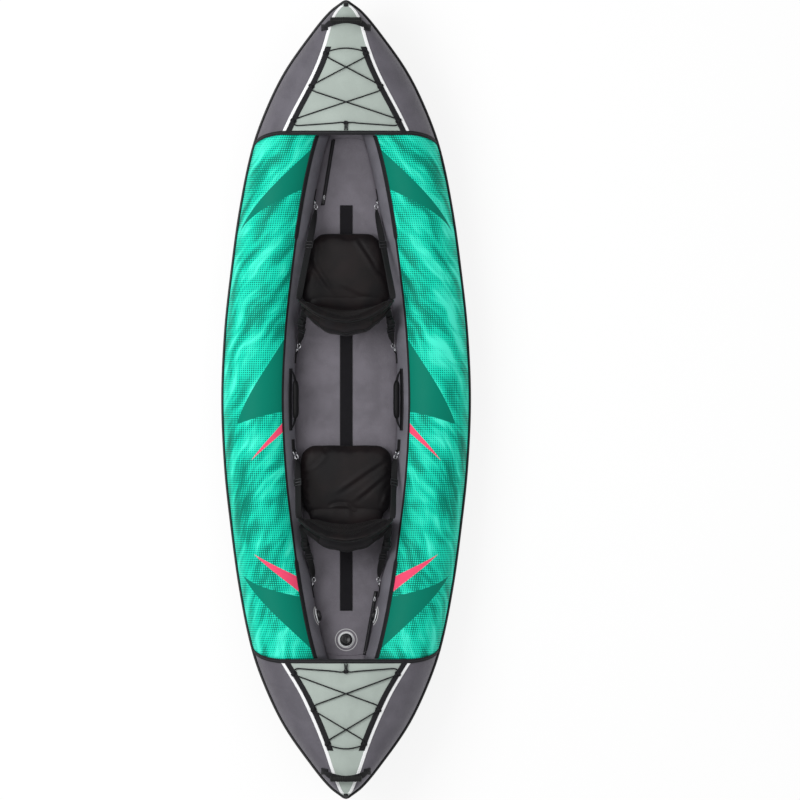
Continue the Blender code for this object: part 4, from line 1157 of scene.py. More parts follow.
@dataclass(frozen=True)
class DottedRubber(Finish):
    """A moulded grip with rows of small sunk dots."""

    pitch: float = 0.0090

    def dress(self, bench: Bench) -> None:
        """Add the dots, with painted shade darkening their hollows, and the rubbed places.

        Args:
            bench: The material on the bench.
        """
        around, along, _ = bench.split(bench.cloth)
        dots = bench.plus(bench.wave(around, self.pitch), bench.wave(along, self.pitch))
        sunk = bench.step(dots, 0.7, 1.15)
        wear = bench.noise(bench.here, 0.02, 4.0, 0.6)
        colour = self.shade(bench, wear, 0.85, 1.3)
        # painted shade: the sunk dots are coloured much darker than the rubber around them
        colour = bench.mix(sunk, colour, scaled(self.colour, 0.25))
        normal = bench.relief(bench.less(1.0, sunk), 0.0012)
        bench.set(colour, normal, 0.55, 0.25)


@dataclass(frozen=True)
class Metal(Finish):
    """Bare wire or pressed metal with fine drawing marks."""

    roughness: float = 0.28

    def dress(self, bench: Bench) -> None:
        """Add the marks and the dull places.

        Args:
            bench: The material on the bench.
        """
        marks = bench.noise(bench.here, 0.0012, 5.0, 1.0)
        dull = bench.noise(bench.here, 0.015, 3.0)
        colour = bench.mix(dull, scaled(self.colour, 0.8), self.colour)
        rough = bench.ramp(marks, 0.22, self.roughness - 0.08)
        normal = bench.relief(marks, 0.00004)
        bench.set(colour, normal, rough, Metallic=1.0)


@dataclass(frozen=True)
class SeatCloth(Finish):
    """Soft woven polyester: a close twill, a faint warm sheen and shallow creases."""

    twill: float = 0.0016
    warm: Colour = (0.0140, 0.0098, 0.0102)

    def dress(self, bench: Bench) -> None:
        """Add the twill, the creases and the warm tint.

        Args:
            bench: The material on the bench.
        """
        x, y, z = bench.split(bench.here)
        slant = bench.plus(x, bench.plus(y, z))
        threads = bench.wave(slant, self.twill)
        cross = bench.wave(bench.less(x, bench.plus(y, z)), self.twill * 0.7)
        tint = bench.step(bench.noise(bench.here, 0.14, 2.0, 0.3), 0.35, 0.7)
        colour = bench.mix(tint, self.colour, self.warm)
        height = bench.ramp(bench.times(threads, cross), 0.25, 0.5)
        normal = bench.relief(height, 0.0002)
        normal = bench.relief(bench.noise(bench.here, 0.06, 3.0, 0.8), 0.0007, normal)
        bench.set(colour, normal, 0.5, 0.18, Sheen_Weight=0.03, Sheen_Roughness=0.4)


@dataclass(frozen=True)
class Film(Finish):
    """The air chambers' smooth film."""

    def dress(self, bench: Bench) -> None:
        """Add the film's faint creases, with painted shade where they run low.

        Args:
            bench: The material on the bench.
        """
        creases = bench.noise(bench.here, 0.04, 4.0, 0.8)
        # painted shade: the colour darkens where the creases' relief is low
        colour = self.shade(bench, creases, 0.85, 1.1)
        bench.set(colour, bench.relief(creases, 0.001), 0.35)


VALVE_HOLE = 0.0187
FLOOR_VALVE_BASE = Vector((0.0, -0.965, 0.1264))
FLOOR_VALVE_AXIS = Vector((0.0, 0.11626, 0.99322))


def side_valve_base(side: int) -> Vector:
    """Where a side valve's axis meets the lining."""
    return Vector((side * 0.11717, -0.868, 0.18737))


def side_valve_axis(side: int) -> Vector:
    """The way that a side valve looks."""
    return Vector((-side * 0.96771, 0.22109, 0.1211))


@dataclass(frozen=True)
class Finishes:
    """Every finish on the boat."""

    hull: Finish = CoatedCloth("hull_skin_black", srgb(30, 30, 34), mottle=0.10, roughness=0.50)
    sleeve: Finish = PrintedCloth("sleeve_print_green", srgb(0, 132, 110))
    lining: Finish = CoatedCloth(
        "lining_grey", srgb(113, 111, 119), roughness=0.60,
        rings=tuple(PrintRing(tuple(side_valve_base(side)), 0.0325, 0.0385) for side in (-1, 1)),
    )
    floor: Finish = CoatedCloth(
        "floor_grey", srgb(116, 112, 120), roughness=0.62, slack=0.0030,
        rings=(
            PrintRing(tuple(FLOOR_VALVE_BASE), 0.0305, 0.0335),
            PrintRing(tuple(FLOOR_VALVE_BASE), 0.0425, 0.0445),
        ),
    )
    deck: Finish = CoatedCloth("deck_grey", srgb(100, 97, 105), roughness=0.50, slack=0.0022, weave=0.0014)
    panel: Finish = CoatedCloth(
        "panel_pale", srgb(176, 187, 180), roughness=0.65, mottle=0.05, slack=0.0012, weave=0.0014
    )
    white_tape: Finish = CoatedCloth(
        "reflective_white", srgb(252, 253, 254), roughness=0.42, mottle=0.01, weave=0.0009
    )
    band: Finish = Webbing("edge_band_black", srgb(24, 24, 27), half=0.008)
    binding: Finish = Webbing("binding_black", srgb(22, 22, 25), half=0.010, stitch_inset=0.0022)
    piping: Finish = Moulded("piping_black", srgb(16, 16, 18), roughness=0.5)
    strip: Finish = Webbing("lacing_strip_black", srgb(24, 24, 27), half=0.0115)
    strap: Finish = Webbing("seat_strap_black", srgb(15, 15, 17), half=0.0125, thread=(0.03, 0.03, 0.033))
    handle_web: Finish = Webbing("handle_webbing_black", srgb(18, 18, 21), half=0.0125)
    patch: Finish = Webbing("sewn_patch_black", srgb(26, 26, 29), half=0.013)
    grip_tape: Finish = HookTape("grip_strip_black", srgb(27, 26, 29))
    cord: Finish = Braid("bungee_black", srgb(24, 24, 27))
    rubber: Finish = DottedRubber("grip_rubber", srgb(27, 28, 27))
    pad: Finish = SeatCloth("side_grip_cloth", srgb(8, 8, 10), warm=(0.004, 0.004, 0.005))
    valve: Finish = Moulded("valve_black", srgb(22, 22, 25), roughness=0.35)
    valve_white: Finish = Moulded("valve_ring_white", srgb(226, 228, 230), roughness=0.4)
    buckle: Finish = Moulded("buckle_black", srgb(26, 26, 29), roughness=0.38)
    steel: Finish = Metal("wire_steel", srgb(205, 206, 210))
    zip_tape: Finish = Webbing(
        "zip_tape_black", srgb(22, 22, 25), half=0.0075, rib=0.0011, stitch_inset=0.0014
    )
    zip_teeth: Finish = Webbing(
        "zip_teeth_black", srgb(34, 34, 38), half=0.0025, rib=0.0022, stitched=False, roughness=0.4
    )
    seat: Finish = SeatCloth("seat_cloth_black", srgb(19, 17, 19))
    pocket: Finish = SeatCloth("pocket_cloth_black", srgb(30, 28, 31))
    seat_piping: Finish = Webbing("seat_piping_black", srgb(15, 15, 17), half=0.02, stitched=False)
    film: Finish = Film("chamber_film", srgb(150, 155, 158))


LOOKS = Finishes()


# -- fitting pieces to the frame


def fit_piece(
    thing: Thing,
    finish: Finish,
    slot: str,
    body: str = "hull",
    nodes: Sequence[str] = (),
) -> Thing:
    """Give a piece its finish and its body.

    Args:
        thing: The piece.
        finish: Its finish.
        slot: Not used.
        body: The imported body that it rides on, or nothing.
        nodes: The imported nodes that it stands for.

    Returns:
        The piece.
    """
    thing.data.materials.clear()
    thing.data.materials.append(finish.material())
    if body:
        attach(thing, body)
    if nodes:
        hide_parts(*nodes)
    log.info("%s: %s, for %s", thing.name, finish.name, ", ".join(nodes) or "no node")
    return thing


@dataclass
class SubAssembly:
    """A group of pieces that one class builds and dresses."""

    form: HullForm = FORM
    looks: Finishes = LOOKS

    def build(self) -> None:
        """Make every piece of the group."""
        raise NotImplementedError

    def skin(
        self,
        name: str,
        cells: tuple[int, int],
        size: Pair,
        surface: Surface,
        thickness: float,
        outward: Vector | Callable[[Vector], Vector] = UP,
    ) -> Thing:
        """A thin sheet over a surface, whose thickness lies under it.

        Args:
            name: The piece's name.
            cells: Cells across and along.
            size: Metres across and along.
            surface: Its outer face.
            thickness: Its thickness.
            outward: The way out, or what gives it at a point.

        Returns:
            The piece.
        """
        bm = mapped_grid(cells, size, surface)
        bmesh.ops.remove_doubles(bm, verts=bm.verts, dist=1e-6)
        face_towards(bm, outward if callable(outward) else lambda point: outward)
        return thicken(place_object(name, bm, 60.0), thickness)

    def sheet(
        self, name: str, cells: tuple[int, int], size: Pair, surface: Surface, thickness: float,
        finish: Finish, slot: str, outward: Vector | Callable[[Vector], Vector] = UP, **fit: object,
    ) -> Thing:
        """A thin sheet as skin makes it, fitted as fit_piece does."""
        return fit_piece(self.skin(name, cells, size, surface, thickness, outward), finish, slot, **fit)

    def tube(
        self, name: str, path: Sequence[Vector], radius: float | Width, finish: Finish, slot: str,
        shape: dict[str, object] | None = None, **fit: object,
    ) -> Thing:
        """A tube as tube_bmesh makes it, fitted as fit_piece does."""
        return fit_piece(place_object(name, tube_bmesh(path, radius, **(shape or {}))), finish, slot, **fit)

    def ribbon(
        self,
        name: str,
        path: Sequence[Vector],
        normals: Sequence[Vector],
        width: Width,
        thickness: float,
        columns: int = 4,
        sag: Callable[[float, float], float] = lambda across, along: 0.0,
    ) -> Thing:
        """A flat strap along a path.

        Args:
            name: The piece's name.
            path: The strap's middle line.
            normals: The way that its upper face looks at each point.
            width: Gives the width for a share along.
            thickness: The strap's thickness, above the path.
            columns: Cells across.
            sag: Gives a lift for a share across, from -1 to 1, and a share along.

        Returns:
            The strap.
        """
        last = len(path) - 1
        length = sum(steps_of(path))
        frames = []
        for row in range(last + 1):
            run = run_at(path, row)
            up = square_to(run, normals[row])
            frames.append((run.cross(up), up))

        def surface(across: float, along: float) -> Vector:
            """The place of a sheet's point, by its two shares.

            Args:
                across: The share across.
                along: The share along.

            Returns:
                The point.
            """
            row = round(along * last)
            wide, up = frames[row]
            share = 2 * across - 1
            half = width(along) / 2
            return path[row] + wide * (share * half) + up * (thickness + sag(share, along))

        bm = mapped_grid((columns, last), (width(0.5), length), surface)
        face_towards(
            bm, lambda point: frames[min(range(last + 1), key=lambda row: (path[row] - point).length)][1]
        )
        return thicken(place_object(name, bm, 60.0), thickness)


# -- studio


def add_nodes(tree: bpy.types.NodeTree, *kinds: str) -> list[Node]:
    """Empty a tree, then add one node of each kind."""
    tree.nodes.clear()
    return [tree.nodes.new(f"ShaderNode{kind}") for kind in kinds]


def join_mix(tree: bpy.types.NodeTree, mix: Node, parts: Sequence[Node], out: Node) -> None:
    """Join a share and two shaders to a mix, and the mix to the output.

    Args:
        tree: The tree of nodes.
        mix: The mix of the two shaders.
        parts: The share and the two shaders.
        out: The output.
    """
    for socket, part in zip(mix.inputs, parts):
        tree.links.new(part.outputs[0], socket)
    tree.links.new(mix.outputs[0], out.inputs["Surface"])


@dataclass
class Studio:
    """The camera over the boat, the pale floor and the soft light."""

    height: float = 60.0
    plane: float = 0.30
    view_width: float = 3.204
    aim: Pair = (0.2163, -0.002)
    sky: float = 0.565
    lamp: float = 0.52
    fill: float = 0.03

    def build(self) -> None:
        """Set up the camera, the light and the floor."""
        self.place_camera()
        self.place_light()
        self.place_floor()

    def place_camera(self) -> None:
        """A long lens straight above, with the bow at the top of the picture."""
        data = bpy.data.cameras.new("camera")
        data.lens = data.sensor_width * (self.height - self.plane) / self.view_width
        data.clip_start = 1.0
        data.clip_end = 200.0
        camera = bpy.data.objects.new("camera", data)
        camera.location = (*self.aim, self.height)
        bpy.context.scene.collection.objects.link(camera)
        bpy.context.scene.camera = camera

    def place_light(self) -> None:
        """A pale sky, and one large soft lamp from the upper left."""
        scene = bpy.context.scene
        scene.view_settings.view_transform = "Standard"
        world = bpy.data.worlds.new("studio")
        scene.world = world
        world.use_nodes = True
        tree = world.node_tree
        path, either, seen, plain, mix, out = add_nodes(
            tree, "LightPath", "Math", "Background", "Background", "MixShader", "OutputWorld"
        )
        either.operation = "MAXIMUM"
        for background, strength in ((seen, 1.0), (plain, self.sky)):
            background.inputs["Color"].default_value = (1.0, 1.0, 1.0, 1.0)
            background.inputs["Strength"].default_value = strength
        tree.links.new(path.outputs["Is Camera Ray"], either.inputs[0])
        tree.links.new(path.outputs["Is Transmission Ray"], either.inputs[1])
        join_mix(tree, mix, (either, plain, seen), out)
        for place, size, strength in (((-3.0, 1.0, 4.9), 3.2, self.lamp), ((2.6, -1.8, 5.2), 3.0, self.fill)):
            data = bpy.data.lights.new("soft lamp", "AREA")
            data.shape = "SQUARE"
            data.size = size
            data.energy = strength * (pi * Vector(place).length) ** 2
            lamp = bpy.data.objects.new("soft lamp", data)
            lamp.location = place
            lamp.rotation_euler = Vector(place).to_track_quat("Z", "Y").to_euler()
            scene.collection.objects.link(lamp)

    def place_floor(self) -> None:
        """A wide white floor that keeps the boat's shadow."""
        bm = bmesh.new()
        bmesh.ops.create_grid(bm, x_segments=2, y_segments=2, size=30.0)
        floor = place_object("studio_floor", bm)
        floor.data.transform(Matrix.Translation((0.0, 0.0, -0.0006)))
        material = bpy.data.materials.new("studio_white")
        material.use_nodes = True
        tree = material.node_tree
        path, most, share, white, glow, mix, out = add_nodes(
            tree, "LightPath", "Math", "Math", "BsdfDiffuse", "Emission", "MixShader", "OutputMaterial"
        )
        most.operation, share.operation = "MAXIMUM", "MULTIPLY"
        share.inputs[1].default_value = 0.80
        white.inputs["Color"].default_value = (0.86, 0.86, 0.86, 1.0)
        glow.inputs["Color"].default_value = (1.0, 1.0, 1.0, 1.0)
        glow.inputs["Strength"].default_value = 1.06
        tree.links.new(path.outputs["Is Camera Ray"], most.inputs[0])
        tree.links.new(path.outputs["Is Glossy Ray"], most.inputs[1])
        tree.links.new(most.outputs[0], share.inputs[0])
        join_mix(tree, mix, (share, white, glow), out)
        floor.data.materials.append(material)


# -- deck lacing cords


@dataclass
class Lacing(SubAssembly):
    """The bungee cords and the webbing strips with the loops that hold them."""

    cord_diameter: float = 0.0055
    clearance: float = 0.0017
    strip_width: float = 0.023
    strip_inset: float = 0.022
    strip_bottom: float = 0.0016
    webbing: float = 0.0020
    strip_ends: Pair = (0.014, 0.665)
    places: tuple[float, float, float] = (0.105, 0.366, 0.615)
    bend_radius: float = 0.014
    hump: float = 0.0072
    hump_spread: float = 0.4
    tail_gap: float = 0.010
    knot_share: float = 0.091
    arch_rise: float = 0.011
    loop_width: float = 0.008

    def build(self) -> None:
        """Lay both cords first, then their strips and loops."""
        for end in End:
            self.build_cord(end)
        for end in End:
            for side in Side:
                self.build_strip(end, side)

    def anchor(self, end: int, side: int, share: float, lift: float) -> Vector:
        """A point over the middle of a strip."""
        y = self.form.deck_y(end, share)
        return self.form.deck_point(y, side * self.form.strip_u(y, self.strip_inset), lift)

    def strip_frame(self, end: int, side: int, share: float) -> tuple[Vector, Vector, Vector]:
        """Unit vectors at a loop: to the tip, to the centre line and up.

        Args:
            end: 1 for the bow, -1 for the stern.
            side: 1 for starboard, -1 for port.
            share: How far along the strip.

        Returns:
            The three vectors.
        """
        step = 0.02
        along = self.anchor(end, side, share + step, 0.0) - self.anchor(end, side, share - step, 0.0)
        along.normalize()
        y = self.form.deck_y(end, share)
        here = self.form.strip_u(y, self.strip_inset)
        inward = self.form.deck_point(y, side * (here - step)) - self.form.deck_point(y, side * here)
        inward = square_to(along, inward)
        up = inward.cross(along)
        if up.z < 0:
            up.negate()
        return along, inward, up

    def cord_lift(self, extra: float = 0.0) -> float:
        """Height of the cord's middle over the deck cover."""
        return self.strip_bottom + self.webbing + self.clearance + self.cord_diameter / 2 + extra

    def over_deck(self, x: float, y: float, extra: float = 0.0) -> Vector:
        """The middle of the cord where it lies on a deck."""
        return self.form.deck_point(y, x / self.form.panel_half_width(y), self.cord_lift(extra))

    def deck_run(self, start: Vector, finish: Vector, over: int) -> Line:
        """The cord's points over the deck between two places, both left out.

        Args:
            start: The place before it.
            finish: The place after it.
            over: 1 where it crosses over the other run, or else 0.

        Returns:
            The points.
        """
        points = []
        for step in range(1, 5):
            t = step / 5
            hump = self.hump * over * max(0.0, 1 - abs(t - 0.5) / self.hump_spread)
            points.append(
                self.over_deck(start.x + (finish.x - start.x) * t, start.y + (finish.y - start.y) * t, hump)
            )
        return points

    def bend_round(self, end: int, side: int, share: float, from_tip: bool) -> Bend:
        """Where the cord bends through a loop: the bend's centre, the way ahead and the way inward.

        Args:
            end: 1 for the bow, -1 for the stern.
            side: 1 for starboard, -1 for port.
            share: How far along the strip.
            from_tip: Whether the cord comes from the tip.

        Returns:
            The bend.
        """
        along, inward, _ = self.strip_frame(end, side, share)
        centre = self.anchor(end, side, share, self.cord_lift()) + inward * self.bend_radius
        return centre, -along if from_tip else along, inward

    def bend_points(self, bend: Bend, enter: float, leave: float) -> Line:
        """The points of a bend, from the angle where the cord meets it to the one where it leaves.

        Args:
            bend: The bend's centre and its two ways.
            enter: The angle where the bend begins.
            leave: The angle where it ends.

        Returns:
            The points.
        """
        centre, ahead, inward = bend
        angles = (enter + (leave - enter) * step / 8 for step in range(9))
        return [centre + (ahead * sin(angle) - inward * cos(angle)) * self.bend_radius for angle in angles]

    def taut_bends(self, bends: Sequence[Bend], tail: Vector, knot: Vector) -> list[Line]:
        """The points of all bends, each turned so that the straight runs touch it without a corner.

        Args:
            bends: The bends in the order of the cord.
            tail: Where the cord's run starts.
            knot: Where it ends, at the knot.

        Returns:
            One line of points a bend.
        """
        arcs = [self.bend_points(bend, -1.1, 1.1) for bend in bends]
        for _ in range(8):
            before = [tail, *(arc[-1] for arc in arcs[:-1])]
            after = [*(arc[0] for arc in arcs[1:]), knot]
            runs = [(arc[0] - come, go - arc[-1]) for arc, come, go in zip(arcs, before, after)]
            arcs = [
                self.bend_points(bend, *(atan2(run.dot(bend[2]), run.dot(bend[1])) for run in pair))
                for bend, pair in zip(bends, runs)
            ]
        return arcs

    def end_arch(self, end: int, start: Vector, finish: Vector) -> Line:
        """The cord's bow between the two loops nearest the tip.

        Args:
            end: 1 for the bow, -1 for the stern.
            start: The loop where it begins.
            finish: The loop where it ends.

        Returns:
            The points.
        """
        points = []
        for step in range(1, 6):
            t = step / 6
            y = start.y + end * self.arch_rise * sin(pi * t)
            points.append(self.over_deck(start.x + (finish.x - start.x) * t, y))
        return points

    def cord_route(self, end: int) -> Line:
        """The whole route of one deck's cord, from tail to tail.

        Args:
            end: 1 for the bow, -1 for the stern.

        Returns:
            The route's points.
        """
        low, middle, high = self.places
        port, starboard = Side.PORT.value, Side.STARBOARD.value
        stops = (
            (port, low, False, 0), (starboard, middle, False, 0), (port, high, False, 0),
            (starboard, high, True, 1), (port, middle, True, 1), (starboard, low, True, 0),
        )
        tail = self.tail_gap / 2
        edge_y = self.form.edge(end) + end * 0.0172
        knot_y = self.form.deck_y(end, self.knot_share)
        route = [self.over_deck(-tail, edge_y), self.over_deck(-tail, knot_y)]
        knot = self.over_deck(tail, knot_y)
        bends = self.taut_bends([self.bend_round(end, *stop[:3]) for stop in stops], route[-1], knot)
        for (side, share, _, over), bend in zip(stops, bends):
            if share == high and side == starboard:
                route += self.end_arch(end, route[-1], bend[0])
            else:
                route += self.deck_run(route[-1], bend[0], over)
            route += bend
        return [*route, *self.deck_run(route[-1], knot, 0), knot, self.over_deck(tail, edge_y)]

    def build_cord(self, end: End) -> None:
        """One deck's cord with its knot.

        Args:
            end: Bow or stern.
        """
        path = eased_path(smooth_path(self.cord_route(end.value), 3), 0.0028, 20)
        name = f"{end.word}_bungee_cord"
        cord = self.tube(
            name, path, self.cord_diameter / 2, self.looks.cord, "bungee_cord", dict(around=10),
            nodes=(f"{end.word}_bungee",),
        )
        length = sum(steps_of(path))
        knot = self.build_knot(end)
        tuple(path[0])
        [tuple(point) for point in path]

    def build_knot(self, end: End) -> Thing:
        """The knot that ties the cord's two tails.

        Args:
            end: Bow or stern.

        Returns:
            The knot.
        """
        y = self.form.deck_y(end.value, self.knot_share)
        middle = self.form.deck_point(y, 0.0, self.cord_lift(0.0012))
        size = self.tail_gap * 0.80
        turns = []
        for step in range(24):
            turn = 4 * pi * step / 24
            along = size * 0.42 * sin(turn) + (step / 24 - 0.5) * 0.007
            turns.append(middle + Vector((size * cos(turn), along, 0.0028 * sin(turn * 1.5))))
        return self.tube(
            f"{end.word}_bungee_knot", smooth_path(turns, 3), 0.0026, self.looks.cord, "bungee_cord"
        )

    def build_strip(self, end: End, side: Side) -> None:
        """A webbing strip, sewn flat to the deck, with its three loops.

        Args:
            end: Bow or stern.
            side: Port or starboard.
        """
        name = f"{end.word}_lacing_strip_{side.word}"
        half = self.strip_width / 2
        low, high = self.strip_ends
        near, far = (self.anchor(end.value, side.value, share, 0.0) for share in (low, high))
        length = (near - far).length

        def surface(across: float, along: float) -> Vector:
            """The place of a sheet's point, by its two shares.

            Args:
                across: The share across.
                along: The share along.

            Returns:
                The point.
            """
            y = self.form.deck_y(end.value, low + (high - low) * along)
            u = side.value * self.form.strip_u(y, self.strip_inset + (2 * across - 1) * half)
            return self.form.deck_point(y, u, self.strip_bottom + self.webbing)

        self.sheet(
            f"{name}_web", (4, 40), (self.strip_width, length), surface, self.webbing, self.looks.strip,
            "webbing", nodes=(name,),
        )
        for number, share in enumerate(self.places):
            self.build_loop(f"{name}_loop_{number}", end.value, side.value, share)

    def build_loop(self, name: str, end: int, side: int, share: float) -> None:
        """A short arch of webbing that the cord runs through, with two sewn feet.

        Args:
            name: The loop's name.
            end: 1 for the bow, -1 for the stern.
            side: 1 for starboard, -1 for port.
            share: How far along the strip.
        """
        _, inward, up = self.strip_frame(end, side, share)
        foot = self.anchor(end, side, share, self.strip_bottom + self.webbing)
        radius = self.cord_diameter / 2 + self.clearance
        reach = radius + 0.0085
        sewn = [foot + inward * across + up * 0.0002 for across in (-reach, -reach + 0.004, -radius - 0.0016)]
        last = [foot + inward * across + up * 0.0002 for across in (radius + 0.0016, reach - 0.004, reach)]
        angles = [pi * (1 - step / 8) for step in range(9)]
        spokes = [inward * cos(angle) + up * sin(angle) for angle in angles]
        path = [*sewn, *(foot + up * radius * 0.9 + spoke * radius for spoke in spokes), *last]
        normals = [up, up, up, *spokes, up, up, up]
        loop = self.ribbon(name, path, normals, lambda t: self.loop_width + 0.002, 0.0014, columns=2)
        fit_piece(loop, self.looks.strip, "webbing")


# -- skins


@dataclass
class Skins(SubAssembly):
    """The hull's lower skins, printed side covers, cockpit linings and outer seam."""

    skin_thickness: float = 0.0012
    lining_end: float = radians(204.0)

    def build(self) -> None:
        """Make the skins from the bottom up."""
        self.build_bottom()
        for side in Side:
            self.build_side(side)
            self.build_sleeve(side)
            self.build_lining(side)
            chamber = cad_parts[f"side_chamber_{side.word}"]
            chamber.data.materials.clear()
            chamber.data.materials.append(self.looks.film.material())
        self.build_piping()
        for end in End:
            self.build_stem(end)
            for side in Side:
                self.build_inner_cover(end, side)

    def build_bottom(self) -> None:
        """The bottom panel, flat in its middle and lifted to the tubes at its sides."""
        form = self.form

        def surface(across: float, along: float) -> Vector:
            """The place of a sheet's point, by its two shares.

            Args:
                across: The share across.
                along: The share along.

            Returns:
                The point.
            """
            y = form.skin_half_length * sin(pi * (along - 0.5))
            v = 2 * across - 1
            x, z, _, half_height = form.tube_section(y)
            low = form.bottom_z(y)
            height = low + (z - half_height - low) * eased((abs(v) - 0.6) / 0.4)
            return Vector((v * x, y, height))

        self.sheet(
            "bottom_panel_skin", (24, 120), (0.70, 3.2), surface, self.skin_thickness, self.looks.hull,
            "hull_skin", -UP, nodes=("hull_bottom",),
        )

    def build_side(self, side: Side) -> None:
        """The lower outer quarter of a tube's cover.

        Args:
            side: Port or starboard.
        """
        form = self.form

        def surface(across: float, along: float) -> Vector:
            """The place of a sheet's point, by its two shares."""
            y = form.skin_half_length * sin(pi * (along - 0.5))
            return form.tube_point(side.value, y, -pi / 2 * across)

        name = f"hull_side_{side.word}"
        self.sheet(
            f"{name}_skin", (12, 120), (0.224, 3.3), surface, self.skin_thickness, self.looks.hull,
            "hull_skin", lambda point: form.off_axis(side.value, point), nodes=(name,),
        )

    def build_sleeve(self, side: Side) -> None:
        """The printed cover over a tube, with its ends cut to the decks' swept edges.

        Args:
            side: Port or starboard.
        """
        form = self.form

        def surface(across: float, along: float) -> Vector:
            """The place of a sheet's point, by its two shares.

            Args:
                across: The share across.
                along: The share along.

            Returns:
                The point.
            """
            angle = form.binding_angle * across
            sweep = form.sweep(angle)
            low, high = form.stern_edge + sweep, form.bow_edge - sweep
            return form.tube_point(side.value, low + (high - low) * along, angle)

        name = f"side_sleeve_{side.word}"
        bm = mapped_grid((40, 160), (form.tube_radius * form.binding_angle, 2.10), surface)
        map_again(bm, lambda uv, place: (uv.x, place.y))
        face_towards(bm, lambda point: UP)
        skin = thicken(place_object(f"{name}_cover", bm, 60.0), self.skin_thickness)
        fit_piece(skin, self.looks.sleeve, "printed_sleeve", nodes=(name,))

    def build_lining(self, side: Side) -> None:
        """The plain inner face of the cockpit, with a hole behind its valve.

        Args:
            side: Port or starboard.
        """
        form = self.form
        low, high = form.stern_edge, form.bow_edge

        def surface(across: float, along: float) -> Vector:
            """The place of a sheet's point, by its two shares."""
            angle = form.binding_angle + (self.lining_end - form.binding_angle) * across
            return form.tube_point(side.value, low + (high - low) * along, angle)

        name = f"inner_lining_{side.word}"
        size = (form.tube_radius * (self.lining_end - form.binding_angle), high - low)
        inward = Vector((-side.value, 0, 0.3))
        skin = self.skin(f"{name}_cloth", (16, 120), size, surface, self.skin_thickness, inward)
        punch(skin, side_valve_base(side.value), side_valve_axis(side.value), VALVE_HOLE, 0.03)
        fit_piece(skin, self.looks.lining, "cockpit_lining", nodes=(name,))

    def build_inner_cover(self, end: End, side: Side) -> None:
        """The cover on a tube's inner face where it runs on under a deck.

        Args:
            end: Bow or stern.
            side: Port or starboard.
        """
        form = self.form
        start, finish = form.edge(end.value) - end.value * 0.004, end.value * 1.500

        def surface(across: float, along: float) -> Vector:
            """The place of a sheet's point, by its two shares.

            Args:
                across: The share across.
                along: The share along.

            Returns:
                The point.
            """
            y = start + (finish - start) * along
            first = max(form.edge_angle(y), form.edge_angle(form.edge(end.value))) + radians(3.0)
            return form.tube_point(side.value, y, first + (self.lining_end - first) * across, -0.0002)

        name = f"{end.word}_inner_cover_{side.word}"
        self.sheet(
            name, (20, 24), (0.36, 0.44), surface, 0.0008, self.looks.lining, "cockpit_lining",
            lambda point: form.off_axis(side.value, point),
        )

    def build_piping(self) -> None:
        """The welt round the whole outer seam."""
        form = self.form
        starboard = []
        rows = 120
        for row in range(rows + 1):
            y = form.skin_half_length * sin(pi * (row / rows - 0.5))
            step = 0.002
            before, after = max(y - step, -form.skin_half_length), min(y + step, form.skin_half_length)
            slope = (form.half_breadth(after) - form.half_breadth(before)) / (after - before)
            normal = Vector((1.0, -slope, 0.0)).normalized()
            starboard.append(form.tube_point(1, y, 0.0) + normal * 0.0045)
        port = [Vector((-p.x, p.y, p.z)) for p in reversed(starboard)]
        tip, height = 1.5948, starboard[-1].z
        path = [*starboard, Vector((0.0, tip, height)), *port, Vector((0.0, -tip, height))]
        self.tube(
            "gunwale_welt", path, 0.0052, self.looks.piping, "edge_band", dict(around=10, closed=True),
            nodes=("gunwale_piping",),
        )

    def build_stem(self, end: End) -> None:
        """The tape that closes a nose from the deck to the bottom.

        Args:
            end: Bow or stern.
        """
        form = self.form
        tip = form.skin_half_length
        _, z, _, half_height = form.tube_section(end.value * tip)
        top, low = z + half_height, z - half_height
        line = (
            (tip - 0.016, top - 0.0080), (tip - 0.008, top - 0.0036), (tip - 0.0025, top - 0.0008),
            (tip + 0.0004, top - 0.006), (tip + 0.0006, top - 0.022), (tip + 0.0006, z),
            (tip + 0.0006, low + 0.022), (tip + 0.0004, low + 0.006), (tip - 0.0025, low + 0.0004),
            (tip - 0.012, low - 0.0004),
        )
        path = smooth_path([Vector((0.0, end.value * y, height)) for y, height in line], 5)
        shape = dict(around=16, flat=0.22, up=Vector((0.0, end.value, 1.0)))
        self.tube(f"{end.word}_stem_tape", path, 0.0088, self.looks.piping, "edge_band", shape)


# -- decks


